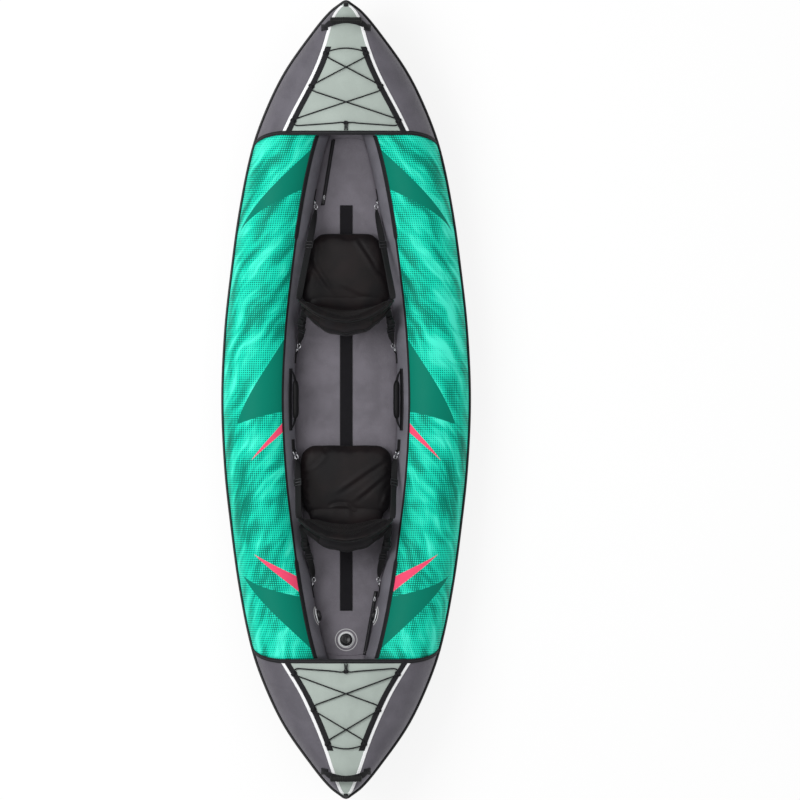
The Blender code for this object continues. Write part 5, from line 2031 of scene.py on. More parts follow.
@dataclass
class Decks(SubAssembly):
    """The deck covers, pale panels, white lines and the black edges of the cockpit."""

    gap: float = 0.0004
    panel_skin: float = 0.0008
    tape: float = 0.0014
    band_width: float = 0.016
    line_width: float = 0.0150
    wide_start: float = 0.655
    bow_cut: tuple[float, float, float] = (0.962, 0.575, 0.317)
    stern_cut: tuple[float, float, float] = (0.978, 0.595, 0.335)

    def build(self) -> None:
        """Make both decks, then the bindings along the cockpit."""
        for end in End:
            self.build_cover(end)
            self.build_panel(end)
            self.build_band(end)
            for side in Side:
                self.build_line(end, side)
        for side in Side:
            self.build_binding(side)

    def relief(self, point: Vector, u: float, share: float) -> float:
        """The soft creases that run out from a deck's corners over its sides.

        Args:
            point: The place on the deck.
            u: The share across the deck.
            share: The share from the tip to the cockpit.

        Returns:
            How far the cloth stands out or in.
        """
        side = max(abs(u) - 1.0, 0.0)
        fade = sin(pi * min(side, 1.0)) * sin(pi * min(max(share, 0.0), 1.0))
        crease = ripple(Vector((point.x * 0.6, point.y, 0.0)), 0.075, 2.0)
        return 0.0016 * fade * crease

    def build_cover(self, end: End) -> None:
        """The dark cover from seam to seam, with its cockpit edge swept over the tubes.

        Args:
            end: Bow or stern.
        """
        form = self.form
        tip = end.value * form.skin_half_length

        def surface(across: float, along: float) -> Vector:
            """The place of a sheet's point, by its two shares.

            Args:
                across: The share across.
                along: The share along.

            Returns:
                The point.
            """
            u = 4 * across - 2
            start = form.swept_edge(end.value, u)
            share = 1 - (1 - along) ** 1.45
            y = start + (tip - start) * share
            point = form.deck_point(y, u)
            return form.deck_point(y, u, self.relief(point, u, share))

        name = f"{end.word}_deck_cover"
        cover = self.sheet(
            f"{name}_cloth", (64, 70), (0.9, 0.55), surface, 0.0012, self.looks.deck, "deck_cover",
            nodes=(name,),
        )
        *flat, area = self.bow_cut if end is End.BOW else self.stern_cut

    def build_panel(self, end: End) -> None:
        """The pale panel down the middle of a deck.

        Args:
            end: Bow or stern.
        """
        form = self.form
        start = form.edge(end.value)
        tip = end.value * (form.skin_half_length - 0.006)

        def surface(across: float, along: float) -> Vector:
            """The place of a sheet's point, by its two shares."""
            y = start + (tip - start) * (1 - (1 - along) ** 1.3)
            return form.deck_point(y, 2 * across - 1, self.gap + self.panel_skin)

        name = f"{end.word}_deck_panel"
        self.sheet(
            f"{name}_cloth", (28, 50), (0.4, 0.55), surface, self.panel_skin, self.looks.panel, "deck_panel",
            nodes=(name,),
        )

    def build_line(self, end: End, side: Side) -> None:
        """The white tape over one edge of a pale panel.

        Args:
            end: Bow or stern.
            side: Port or starboard.
        """
        form = self.form
        start = form.edge(end.value)
        tip = end.value * (form.skin_half_length - 0.012)

        def surface(across: float, along: float) -> Vector:
            """The place of a sheet's point, by its two shares.

            Args:
                across: The share across.
                along: The share along.

            Returns:
                The point.
            """
            y = start + (tip - start) * (1 - (1 - along) ** 1.3)
            inset = (0.78 - across) * self.line_width
            edge = form.panel_half_width(y)
            u = (edge - inset) / edge if inset > 0 else 1 - inset / (0.14 * form.edge_angle(y))
            return form.deck_point(y, side.value * max(u, 0.04), 0.0020)

        size = (self.line_width, 0.56)
        self.sheet(
            f"{end.word}_white_line_{side.word}", (4, 70), size, surface, 0.0009, self.looks.white_tape,
            "deck_panel",
        )

    def build_band(self, end: End) -> None:
        """The black band where a deck meets the cockpit, folded over the deck's edge.

        Args:
            end: Bow or stern.
        """
        form = self.form
        lift = self.gap * 2 + self.panel_skin + self.tape

        def surface(across: float, along: float) -> Vector:
            """The place of a sheet's point, by its two shares.

            Args:
                across: The share across.
                along: The share along.

            Returns:
                The point.
            """
            u = (2 * along - 1) * 1.985
            start = form.swept_edge(end.value, u)
            if across < 0.5:
                drop = (0.5 - across) * 2
                rounded = sin(pi * drop) * 0.0008
                return form.deck_point(start - end.value * rounded, u, lift - 0.0062 * drop)
            y = start + end.value * self.band_width * (across - 0.5) * 2
            return form.deck_point(y, u, lift)

        name = f"{end.word}_deck_band"
        self.sheet(
            f"{name}_tape", (8, 110), (self.band_width * 1.35, 0.95), surface, self.tape, self.looks.band,
            "edge_band", nodes=(name,),
        )

    def build_binding(self, side: Side) -> None:
        """The tape along one long edge of the cockpit, wider towards the decks.

        Args:
            side: Port or starboard.
        """
        form = self.form
        low, high = form.stern_edge + 0.003, form.bow_edge - 0.003

        def surface(across: float, along: float) -> Vector:
            """The place of a sheet's point, by its two shares.

            Args:
                across: The share across.
                along: The share along.

            Returns:
                The point.
            """
            y = low + (high - low) * along
            wide = eased((abs(y) - self.wide_start + 0.02) / 0.02)
            width = 0.0088 + 0.0112 * wide
            angle = form.binding_angle + (2 * across - 1) * width / (2 * form.tube_radius)
            return form.tube_point(side.value, y, angle, 0.0020)

        name = f"cockpit_binding_{side.word}"
        self.sheet(
            f"{name}_tape", (4, 300), (0.020, high - low), surface, self.tape, self.looks.binding, "webbing",
            nodes=(name,),
        )


# -- floor


@dataclass
class Floor(SubAssembly):
    """The floor in its cover, the grip strip and the two zips."""

    half_length: float = 1.120
    grip_width: float = 0.050
    grip_ends: Pair = (-0.848, 0.780)
    zip_width: float = 0.0150
    zips: tuple[tuple[End, float, float, float, float], ...] = (
        (End.BOW, -0.6745, 0.780, -0.6368, 1.045),
        (End.STERN, 0.8505, -0.770, 0.8641, -1.025),
    )

    def build(self) -> None:
        """Make the cover and what is on it."""
        self.build_cover()
        self.build_grip()
        self.build_seam()
        for end, *ends in self.zips:
            self.build_zip(end, *ends)

    def top(self, x: float, y: float, lift: float = 0.0) -> Vector:
        """A point over the floor's upper face."""
        return Vector((x, y, self.form.floor_top(y) + lift))

    def half_width(self, y: float) -> float:
        """Half width of the floor's upper face."""
        return self.form.tube_inner_x(y, self.form.floor_top(y)) - 0.003

    def section(self, y: float, turn: float) -> Pair:
        """A point of the floor's half section, for a turn from 0 on top to 1 underneath.

        Args:
            y: The place along the boat.
            turn: The share of the way round, from top to underneath.

        Returns:
            The point's distance from the centre line and its height.
        """
        form = self.form
        x, centre, half_width, half_height = form.tube_section(y)
        top, low = form.floor_top(y), form.bottom_z(y) + 0.0016
        width = self.half_width(y)
        if turn < 0.4:
            share = turn / 0.4
            return (width - 0.006) * share, top - 0.0035 * max(0.0, share - 0.93) / 0.07
        if turn < 0.7:
            first = asin(min((centre - top + 0.008) / half_height, 1.0))
            last = asin(min((centre - low - 0.010) / half_height, 1.0))
            angle = first + (last - first) * (turn - 0.4) / 0.3
            return x - half_width * cos(angle) - 0.003, centre - half_height * sin(angle)
        share = (turn - 0.7) / 0.3
        edge = x - half_width * cos(asin(min((centre - low - 0.010) / half_height, 1.0))) - 0.003
        return edge * (1 - share), low + 0.010 * max(0.0, 1 - share / 0.4) ** 2

    def build_cover(self) -> None:
        """The floor's closed cover, with rounded ends and a hole for its valve."""
        reach = self.half_length

        def surface(across: float, along: float) -> Vector:
            """The place of a sheet's point, by its two shares.

            Args:
                across: The share across.
                along: The share along.

            Returns:
                The point.
            """
            y = -reach + 2 * reach * min(max((along - 0.01) / 0.98, 0.0), 1.0)
            side = 1 if across < 0.5 else -1
            turn = across * 2 if across < 0.5 else (1 - across) * 2
            x, z = self.section(y, turn)
            near = min(along, 1 - along)
            if near < 0.005:
                middle = (self.form.floor_top(y) + self.form.bottom_z(y)) / 2
                return Vector((side * x * 0.5, y, middle + (z - middle) * 0.5))
            return Vector((side * x, y, z))

        bm = mapped_grid((80, 150), (0.9, 2.24), surface)
        bmesh.ops.remove_doubles(bm, verts=bm.verts, dist=1e-5)
        bmesh.ops.holes_fill(bm, edges=[edge for edge in bm.edges if edge.is_boundary], sides=0)
        bmesh.ops.recalc_face_normals(bm, faces=bm.faces)
        map_again(bm, lambda uv, place: place.xy)
        cover = place_object("floor_cover_cloth", bm)
        punch(cover, FLOOR_VALVE_BASE, FLOOR_VALVE_AXIS, VALVE_HOLE, 0.034)
        fit_piece(cover, self.looks.floor, "floor_cover", nodes=("floor_chamber",))

    def build_grip(self) -> None:
        """The hook-and-loop strip down the floor's middle."""
        low, high = self.grip_ends

        def surface(across: float, along: float) -> Vector:
            """The place of a sheet's point, by its two shares.

            Args:
                across: The share across.
                along: The share along.

            Returns:
                The point.
            """
            x = (2 * across - 1) * self.grip_width / 2
            y = low + (high - low) * along
            uneven = 0.0004 * ripple(Vector((x, y, 0.0)), 0.03)
            return self.top(x, y, 0.0034 + uneven)

        self.sheet(
            "floor_grip_tape", (8, 220), (self.grip_width, high - low), surface, 0.0030, self.looks.grip_tape,
            "webbing", nodes=("floor_grip_strip",),
        )

    def build_seam(self) -> None:
        """The rounded welds across the floor's ends."""
        for y, name in ((-1.026, "floor_stern_seam"), (1.048, "floor_bow_seam")):
            path = []
            for step in range(25):
                share = step / 12 - 1
                x = share * (self.half_width(y) - 0.004)
                path.append(self.top(x, y - copysign(0.014, y) * share**4, 0.0006))
            self.tube(name, path, 0.0022, self.looks.floor, "floor_cover", dict(flat=0.6))

    def build_zip(self, end: End, first: float, start: float, last: float, finish: float) -> None:
        """A zip: its tape, its closed teeth and its slider with a pull.

        Args:
            end: Bow or stern.
            first: Where across it starts, as a share of the floor's half width.
            start: Where along the boat it starts.
            last: Where across it ends, as such a share.
            finish: Where along the boat it ends.
        """
        x0, x1 = first * self.half_width(start), last * self.half_width(finish)

        def along_zip(share: float, across: float, lift: float) -> Vector:
            """A place along the zip."""
            y = start + (finish - start) * share
            return self.top(x0 + (x1 - x0) * share + across, y, lift)

        length = hypot(finish - start, x1 - x0)

        def tape(across: float, along: float) -> Vector:
            """A place on the zip's tape.

            Args:
                across: The share across.
                along: The share along.

            Returns:
                The point.
            """
            edge = 2 * across - 1
            wobble = 0.0005 * ripple(Vector((edge, along * 9, 0.0)), 1.0)
            return along_zip(along, edge * self.zip_width / 2, 0.0018 + wobble)

        def teeth(across: float, along: float) -> Vector:
            """The way up at a place."""
            edge = 2 * across - 1
            return along_zip(along, edge * 0.0025, 0.0033 - 0.0008 * edge * edge)

        name = f"floor_zip_{end.word}"
        self.sheet(
            f"{name}_tape", (6, 60), (self.zip_width, length), tape, 0.0014, self.looks.zip_tape, "zip_tape",
            nodes=(name,),
        )
        self.sheet(f"{name}_teeth", (4, 60), (0.005, length), teeth, 0.0015, self.looks.zip_teeth, "zip_tape")
        run = (along_zip(1.0, 0.0, 0.0) - along_zip(0.0, 0.0, 0.0)).normalized()
        centre = along_zip(0.0146 / abs(finish - start), 0.0, 0.0062)
        place = basis(centre, run, UP)
        body = block_bmesh((0.0105, 0.0175, 0.0056), 0.0016, place, 3)
        for corner in body.verts:
            local = place.inverted() @ corner.co
            local.x *= 0.82 + 0.22 * eased((local.y + 0.009) / 0.018)
            corner.co = place @ local
        bridge = block_bmesh(
            (0.0036, 0.0100, 0.0020), 0.0008, place @ Matrix.Translation((0.0, 0.0, 0.0032)), 2
        )
        slider = place_object(f"floor_zip_slider_{end.word}_body", join_bmeshes(body, bridge))
        fit_piece(
            slider, self.looks.buckle, "zip_slider", body=f"{end.word}_zip_pull",
            nodes=(f"floor_zip_slider_{end.word}",),
        )
        tab = place_object(f"floor_zip_pull_{end.word}", self.pull_tab(place))
        fit_piece(tab, self.looks.steel, "zip_slider", body=f"{end.word}_zip_pull")

    def pull_tab(self, place: Matrix) -> Shape:
        """A flat pull with a rounded eye at each end.

        Args:
            place: Its place.

        Returns:
            The pull.
        """
        ring = []
        for step in range(24):
            turn = 2 * pi * step / 24
            stretch = 0.0085 if sin(turn) > 0 else -0.0085
            ring.append(place @ Vector((0.0026 * cos(turn), 0.0145 + stretch + 0.0030 * sin(turn), 0.0016)))
        return tube_bmesh(ring, 0.0010, closed=True, flat=0.8)


# -- valves


@dataclass
class Valves(SubAssembly):
    """The floor valve and the two side valves."""

    def build(self) -> None:
        """Make the bodies, caps and the floor valve's stem."""
        self.build_valve("floor_valve", FLOOR_VALVE_BASE, FLOOR_VALVE_AXIS, "floor_cap")
        profile = (
            (0.0, -0.0110), (0.0030, -0.0110), (0.0040, -0.0120), (0.0040, -0.0246), (0.0100, -0.0246),
            (0.0100, -0.0266), (0.0, -0.0266),
        )
        bm = turned_bmesh(profile, 32, axis_place(FLOOR_VALVE_BASE, FLOOR_VALVE_AXIS))
        stem = place_object("floor_valve_plunger", bm)
        fit_piece(stem, self.looks.steel, "valve_stem", body="floor_stem", nodes=("floor_valve_stem",))
        for side in Side:
            base, axis = side_valve_base(side.value), side_valve_axis(side.value)
            self.build_valve(f"side_valve_{side.word}", base, axis, f"{side.word}_cap")

    def build_valve(self, name: str, base: Vector, axis: Vector, cap_body: str) -> None:
        """A valve's body with its white ring, and its knurled cap.

        Args:
            name: The valve's name.
            base: The middle of the flange's underside.
            axis: The way that the valve looks.
            cap_body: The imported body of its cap.
        """
        word = name.split("_")
        nodes = ("floor_valve_body", "floor_valve_cap")
        if word[0] == "side":
            nodes = (f"side_valve_body_{word[2]}", f"side_valve_cap_{word[2]}")
        place = axis_place(base, axis)
        profile = (
            (0.0130, 0.0040), (0.0240, 0.0040), (0.0246, 0.0032), (0.0280, 0.0026), (0.0290, 0.0014),
            (0.0290, 0.0), (0.0180, 0.0), (0.0180, -0.0240), (0.0070, -0.0240), (0.0070, -0.0200),
            (0.0130, -0.0200), (0.0130, 0.0040),
        )
        ring = (
            (0.0252, 0.0028), (0.0256, 0.0038), (0.0292, 0.0032), (0.0304, 0.0016), (0.0304, 0.0002),
            (0.0252, 0.0028),
        )
        flange = place_object(f"{name}_flange", turned_bmesh(profile, place=place))
        fit_piece(flange, self.looks.valve, "valve_plastic", nodes=nodes[:1])
        rim = place_object(f"{name}_ring", turned_bmesh(ring, place=place))
        fit_piece(rim, self.looks.valve_white, "valve_plastic")
        lid = place_object(f"{name}_lid", self.cap_bmesh(place))
        fit_piece(lid, self.looks.valve, "valve_plastic", body=cap_body, nodes=nodes[1:])

    def cap_bmesh(self, place: Matrix) -> Shape:
        """A cap with a knurled rim, a dished top and a raised bar to turn it by.

        Args:
            place: Its place.

        Returns:
            The cap.
        """
        under, top = 0.0046, 0.0166
        profile = (
            (0.0, top - 0.0018), (0.0120, top - 0.0018), (0.0140, top - 0.0004), (0.0165, top), (
                0.0198, top - 0.0012
            ),
            (0.0214, top - 0.0034), (0.0216, under + 0.0012), (0.0212, under), (0.0124, under),
            (0.0124, under - 0.0060), (0.0, under - 0.0060),
        )
        bm = turned_bmesh(profile)
        middles = ((face, face.calc_center_median()) for face in bm.faces)
        low, high = under + 0.0012, top - 0.0034
        rim = [pair for pair in middles if low < pair[1].z < high and hypot(*pair[1].xy) > 0.02]
        rim.sort(key=lambda pair: atan2(pair[1].y, pair[1].x))
        bmesh.ops.inset_individual(bm, faces=[face for face, _ in rim[::2]], thickness=0.00025, depth=0.0008)
        bar = block_bmesh((0.0055, 0.0225, 0.0032), 0.0012, Matrix.Translation((0.0, 0.0, top - 0.0010)), 3)
        whole = join_bmeshes(bm, bar)
        bmesh.ops.transform(whole, matrix=place, verts=whole.verts)
        return whole


# -- handles


@dataclass
class Handles(SubAssembly):
    """The carry handles at the ends and amidships."""

    end_span: float = 0.186
    end_rise: float = 0.032
    end_lean: float = 0.028
    end_pivot_y: float = 1.4886
    end_foot_z: float = 0.34571
    grip_length: float = 0.128
    side_angle: float = radians(151.0)
    side_length: float = 0.240
    side_standoff: float = 0.024

    def build(self) -> None:
        """Make all four handles and what they are sewn to."""
        for end in End:
            self.build_end(end)
        for side in Side:
            self.build_side(side)

    def end_path(self, end: int) -> tuple[Line, Line]:
        """The middle line and face directions of an end handle's webbing.

        Args:
            end: 1 for the bow, -1 for the stern.

        Returns:
            The line and the directions.
        """
        form = self.form
        y = end * self.end_pivot_y
        foot_z = self.end_foot_z
        top = form.deck_point(y, 0.0).z + self.end_rise
        points = []
        for step in range(-16, 17):
            share = step / 16
            height = foot_z + (top - foot_z) * (1 - abs(share) ** 3)
            lean = end * self.end_lean * (1 - share**2)
            points.append(Vector((self.end_span / 2 * share, y + lean, height)))
        normals = [
            run_at(points, row).cross(Vector((0.0, 1.0, 0.0))).normalized() for row in range(len(points))
        ]
        return points, normals

    def build_end(self, end: End) -> None:
        """A webbing loop across the boat's tip with a ribbed grip.

        Args:
            end: Bow or stern.
        """
        points, normals = self.end_path(end.value)
        body = f"{end.word}_carry_loop"

        def width(share: float) -> float:
            """The webbing's width at a share of its length."""
            near = min(share, 1 - share) * 32
            return 0.008 + 0.017 * eased(near / 5)

        web = self.ribbon(f"{end.word}_handle_web", points, normals, width, 0.0020)
        fit_piece(web, self.looks.handle_web, "webbing", body=body)
        middle = points[16] + Vector((0.0, 0.0, 0.0022))
        half = self.grip_length / 2
        path = [
            middle + Vector((x * half, 0.0, -0.0035 * x * x)) for x in [step / 32 - 1 for step in range(65)]
        ]

        def radius(share: float) -> float:
            """The grip's radius at a share of its length.

            Args:
                share: The share of the length.

            Returns:
                The measure there.
            """
            edge = min(share, 1 - share) * self.grip_length
            body_radius = 0.0126 * sqrt(max(0.02, 1 - (1 - min(edge / 0.005, 1.0)) ** 2))
            groove = 0.0011 if 0.010 < edge and round(share * 64) % 4 in (0, 1) else 0.0
            return body_radius - groove

        self.tube(
            f"{end.word}_handle_grip", path, radius, self.looks.rubber, "handle_grip",
            dict(around=28, flat=0.92), body=body, nodes=(f"{end.word}_handle",),
        )
        for side in Side:
            self.build_end_patch(end, side)

    def build_end_patch(self, end: End, side: Side) -> None:
        """The sewn patch that holds one end of an end handle.

        Args:
            end: Bow or stern.
            side: Port or starboard.
        """
        form = self.form
        y0 = end.value * self.end_pivot_y
        reach = self.end_span / 2

        def surface(across: float, along: float) -> Vector:
            """The place of a sheet's point, by its two shares.

            Args:
                across: The share across.
                along: The share along.

            Returns:
                The point.
            """
            y = y0 + (2 * along - 1) * (0.0105 + 0.0035 * across)
            x = reach - 0.022 + 0.026 * across
            edge = form.panel_half_width(y)
            if x <= edge:
                u = x / edge
            else:
                centre, _, half_width, _ = form.tube_section(y)
                u = 2 - acos(min((x - centre) / half_width, 0.999)) / form.edge_angle(y)
            bulge = 0.0022 * (1 - (2 * across - 1) ** 2) * (1 - (2 * along - 1) ** 2)
            return form.deck_point(y, side.value * min(u, 1.90), 0.0036 + bulge)

        name = f"{end.word}_handle_patch_{side.word}"
        self.sheet(name, (8, 8), (0.030, 0.026), surface, 0.0026, self.looks.patch, "webbing")

    def side_path(self, side: int, lift_ends: float) -> tuple[Line, Line]:
        """The middle line and face directions of a side handle's webbing.

        Args:
            side: 1 for starboard, -1 for port.
            lift_ends: How far off the tube its two ends are.

        Returns:
            The line and the directions.
        """
        form = self.form
        points, normals = [], []
        for step in range(-16, 17):
            share = step / 16
            lift = lift_ends + self.side_standoff * (1 - share**4)
            y = self.side_length / 2 * share
            points.append(form.tube_point(side, y, self.side_angle, lift))
            normals.append(
                (points[-1] - form.tube_point(side, y, self.side_angle, -form.tube_radius)).normalized()
            )
        return points, normals

    def build_side(self, side: Side) -> None:
        """A padded loop on the tube's inner face, over its base strap.

        Args:
            side: Port or starboard.
        """
        form = self.form
        points, normals = self.side_path(side.value, 0.0015)
        body = f"{side.word}_carry_loop"

        def width(share: float) -> float:
            """The webbing's width at a share of its length."""
            near = min(share, 1 - share) * 32
            return 0.007 + 0.011 * eased(near / 5)

        web = self.ribbon(f"side_handle_{side.word}_web", points, normals, width, 0.0020)
        fit_piece(web, self.looks.handle_web, "webbing", body=body)
        half = 0.079
        path = []
        for step in range(41):
            share = step / 20 - 1
            lift = self.side_standoff * (1 - abs(share * half / (self.side_length / 2)) ** 4)
            path.append(form.tube_point(side.value, share * half, self.side_angle, 0.0025 + lift))

        def radius(share: float) -> float:
            """The grip's radius at a share of its length.

            Args:
                share: The share of the length.

            Returns:
                The measure there.
            """
            edge = min(share, 1 - share) * 2 * half
            full = 0.0134 * (max(0.03, 1 - (1 - min(edge / 0.030, 1.0)) ** 2)) ** 0.5
            return full * (1 + 0.03 * noise.noise(Vector((share * 9, side.value, 0.0))))

        grip = self.tube(
            f"side_handle_{side.word}_pad", path, radius, self.looks.pad, "handle_grip",
            dict(around=24, flat=0.9, up=normals[16]), body=body, nodes=(f"side_handle_{side.word}",),
        )

        def base(across: float, along: float) -> Vector:
            """A place on the base strap.

            Args:
                across: The share across.
                along: The share along.

            Returns:
                The point.
            """
            y = (2 * along - 1) * 0.124
            angle = self.side_angle + (2 * across - 1) * 0.0115 / form.tube_radius
            return form.tube_point(side.value, y, angle, 0.0026)

        size, inward = (0.023, 0.248), Vector((-side.value, 0, 1))
        self.sheet(
            f"side_handle_{side.word}_base", (4, 50), size, base, 0.0022, self.looks.strip, "webbing", inward
        )


# -- seats


@dataclass
class Seat(SubAssembly):
    """One seat: its cushion, its backrest with a pocket, its straps and their rings."""

    word: str = "front"
    hinge_y: float = 0.360
    base_z: float = 0.10509
    lean: float = 0.030
    rings: tuple[Pair, ...] = ()
    creases: tuple[tuple[float, float, float, float, float, float], ...] = ()
    pan_length: float = 0.310
    pan_width: float = 0.420
    pan_thickness: float = 0.050
    back_height: float = 0.250
    back_top: float = 0.404
    back_low: float = 0.296
    back_thickness: float = 0.040
    back_wrap: float = 0.105
    low_wrap: float = 0.018
    foot: float = 0.042
    pocket_depth: float = 0.055
    pocket_share: float = 0.90
    strap_width: float = 0.025

    @property
    def back_body(self) -> str:
        """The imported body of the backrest."""
        return f"{self.word}_backrest"

    def build(self) -> None:
        """Make the cushion, the backrest, the straps and the rings."""
        pan = self.build_pan()
        back = self.build_back()
        self.build_bridge(pan, back)
        self.build_pocket()
        self.build_lid()
        self.build_straps(back)

    def follow(
        self, thing: Thing, finish: Finish, slot: str, ends: tuple[Vector, Vector], nodes: Sequence[str] = ()
    ) -> None:
        """Fit a piece that runs between a place on the hull and one on the backrest, on no body."""
        fit_piece(thing, finish, slot, body="", nodes=nodes)
        self.back_body
        tuple(ends[0])
        tuple(ends[1])
        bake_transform(thing)

    def pan_room(self, v: float) -> Pair:
        """The cushion's half width and place along the boat, for v from 0 at the back to 1.

        Args:
            v: The share from the back.

        Returns:
            The half width and the place.
        """
        form = self.form
        y = self.hinge_y + 0.0025 + (self.pan_length - 0.0025) * v
        room = form.tube_inner_x(y, form.tube_base + form.rise(y)) - 0.003
        pinch = 1 - 0.02 * (1 - abs(2 * v - 1))
        corner = 1 - 0.13 * v**4
        return min(self.pan_width / 2, room) * pinch * corner, y

    def pan_point(self, a: float, b: float, c: float, shrink: float) -> Vector:
        """A point of the cushion for shares across, along and through, each from -1 to 1.

        Args:
            a: The share across.
            b: The share along.
            c: The share through.
            shrink: The scale about the cushion's middle.

        Returns:
            The point.
        """
        v = (b + 1) / 2
        half, _ = self.pan_room(v)
        corner = max(abs(a), abs(b))
        round_off = 1 - 0.055 * (abs(a) ** 6) * (abs(b) ** 6) * 2
        wrap = self.low_wrap * a * a * (1 - v)
        y = self.hinge_y + 0.0025 + wrap + (self.pan_length - 0.0025 - wrap) * (0.5 + 0.5 * b * round_off)
        x = a * half * round_off
        edge = max(0.0, 1 - corner**7)
        crown = 0.012 * (1 - a * a) * (1 - b * b)
        thick = self.pan_thickness * (0.55 + 0.45 * edge)
        low = self.base_z + (self.pan_thickness - thick) * 0.35
        z = low + (thick * 0.88 + crown * 0.8) * (c + 1) / 2
        middle = self.hinge_y + self.pan_length / 2
        return Vector((x * shrink * 1.02, middle + (y - middle) * shrink, z))

    def folds(self, point: Vector) -> float:
        """The long soft folds of the cover, from -1 to 1, each a ridge beside a hollow.

        Args:
            point: The place.

        Returns:
            The height of the folds there.
        """
        height = 0.25 * ripple(point, 0.11, 3.0)
        for x0, y0, x1, y1, width, depth in self.creases:
            start, run = Vector((x0, y0, 0.0)), Vector((x1 - x0, y1 - y0, 0.0))
            away = Vector((point.x, point.y - self.hinge_y, 0.0)) - start
            share = away.dot(run) / run.length_squared
            fade = eased((share + 0.15) / 0.3) * eased((1.15 - share) / 0.5)
            bend = 0.008 * sin(3.1 * share + x0 * 40)
            over = run.normalized().cross(away).z + bend
            height += depth * fade * 1.9 * (over / width) * 2.718 ** (-((over / width) ** 2))
        return height

    def build_pan(self) -> Thing:
        """The seat cushion, filled by air pressure and then creased.

        Returns:
            The cushion.
        """
        name = f"{self.word}_seat_pan"
        bm = pillow_bmesh((24, 18, 4), lambda a, b, c: self.pan_point(a, b, c, 1.028))
        pan = place_object(f"{name}_cushion", bm, 80.0)
        soften(pan, 0.0055, 0.010)
        facing = [corner.normal.copy() for corner in pan.data.vertices]
        for corner, normal in zip(pan.data.vertices, facing):
            if normal.z > 0.2:
                middle = max(0.0, 1 - (corner.co.x / 0.19) ** 4)
                span = (corner.co.y - self.hinge_y) / self.pan_length
                fade = middle * max(0.0, 1 - abs(2 * span - 1) ** 5) * min(1.0, normal.z * 1.2)
                corner.co += Vector((0.0, 0.0, 0.0040 * fade * self.folds(corner.co)))
            corner.co.z = max(corner.co.z, self.base_z + 0.0002)
        fit_piece(pan, self.looks.seat, "seat_fabric", nodes=(name,))
        self.build_pan_piping(mesh_tree(pan))
        return pan

    def build_bridge(self, pan: Thing, back: Thing) -> None:
        """The cloth that runs on from the cushion's rear up the backrest's face.

        Args:
            pan: The cushion.
            back: The backrest.
        """
        over, front = mesh_tree(pan), mesh_tree(back)

        def surface(across: float, along: float) -> Vector:
            """The place of a sheet's point, by its two shares.

            Args:
                across: The share across.
                along: The share along.

            Returns:
                The point.
            """
            u = 2 * across - 1
            reach = 1 - abs(u) ** 4
            start = Vector((u * 0.152, self.hinge_y + 0.021 + self.low_wrap * u * u + 0.034 * reach, 0.5))
            hit = over.ray_cast(start, -UP)[0]
            start.z = (hit.z if hit else self.base_z + 0.040) - 0.0012
            middle, forward = self.back_middle(u * 0.95, 0.07 + 0.26 * reach)
            hit = front.ray_cast(middle + forward * 0.06, -forward)[0]
            finish = (hit or middle + forward * 0.016) - forward * 0.0012
            knee = Vector(((start.x + finish.x) / 2, finish.y + 0.004, start.z - 0.0002))
            return start * (1 - along) ** 2 + knee * (2 * along * (1 - along)) + finish * along**2

        name = f"{self.word}_seat_bridge"
        cloth = bake(self.skin(name, (36, 16), (0.33, 0.10), surface, 0.0010, Vector((0, 1, 1))))
        self.follow(cloth, self.looks.seat, "seat_fabric", (surface(0.5, 0.0), surface(0.5, 1.0)))

    def build_pan_piping(self, tree: BVHTree) -> None:
        """The welt round the cushion's front and sides.

        Args:
            tree: The cushion's faces.
        """
        middle = Vector((0.0, self.hinge_y + self.pan_length / 2, self.base_z + 0.030))
        ring = []
        for step in range(64):
            turn = radians(-50.0) + radians(280.0) * step / 63
            away = Vector((cos(turn), sin(turn), 0.0))
            hit = tree.ray_cast(middle + away * 0.5, -away)[0]
            if hit:
                ring.append(hit - away * 0.0004)
        path = smooth_path(ring, 2)
        self.tube(f"{self.word}_seat_pan_welt", path, 0.0024, self.looks.seat_piping, "seat_fabric")

    def back_middle(self, u: float, v: float) -> tuple[Vector, Vector]:
        """A point of the backrest's middle layer, and the way forward there.

        Args:
            u: The share across.
            v: The share up.

        Returns:
            The point and the way.
        """
        half = (self.back_low + (self.back_top - self.back_low) * v) / 2
        wrap = self.low_wrap + (self.back_wrap - self.low_wrap) * v
        y = self.hinge_y + wrap * u * u - 0.0025 - self.back_thickness / 2 - self.lean * v
        z = self.base_z + self.foot + self.back_height * v * (1 - 0.10 * u * u)
        normal = Vector((-2 * wrap * u, half, 0.0)).normalized()
        return Vector((u * half, y, z)), normal

    def back_point(self, a: float, b: float, c: float) -> Vector:
        """A point of the padded backrest for shares across, up and through.

        Args:
            a: The share across.
            b: The share up.
            c: The share through.

        Returns:
            The point.
        """
        corner = max(abs(a), abs(b))
        round_off = 1 - 0.05 * (abs(a) ** 6) * (abs(b) ** 6) * 2
        v = 0.5 + 0.50 * b * round_off
        point, normal = self.back_middle(a * round_off * 1.005, v)
        edge = max(0.0, 1 - corner**8)
        thick = self.back_thickness / 2 * (0.50 + 0.42 * edge) * (1 - 0.25 * abs(a) ** 3)
        if c < 0:
            thick *= 1 - 0.85 * eased((v - 0.5) / 0.4)
        return point + normal * (thick * c)

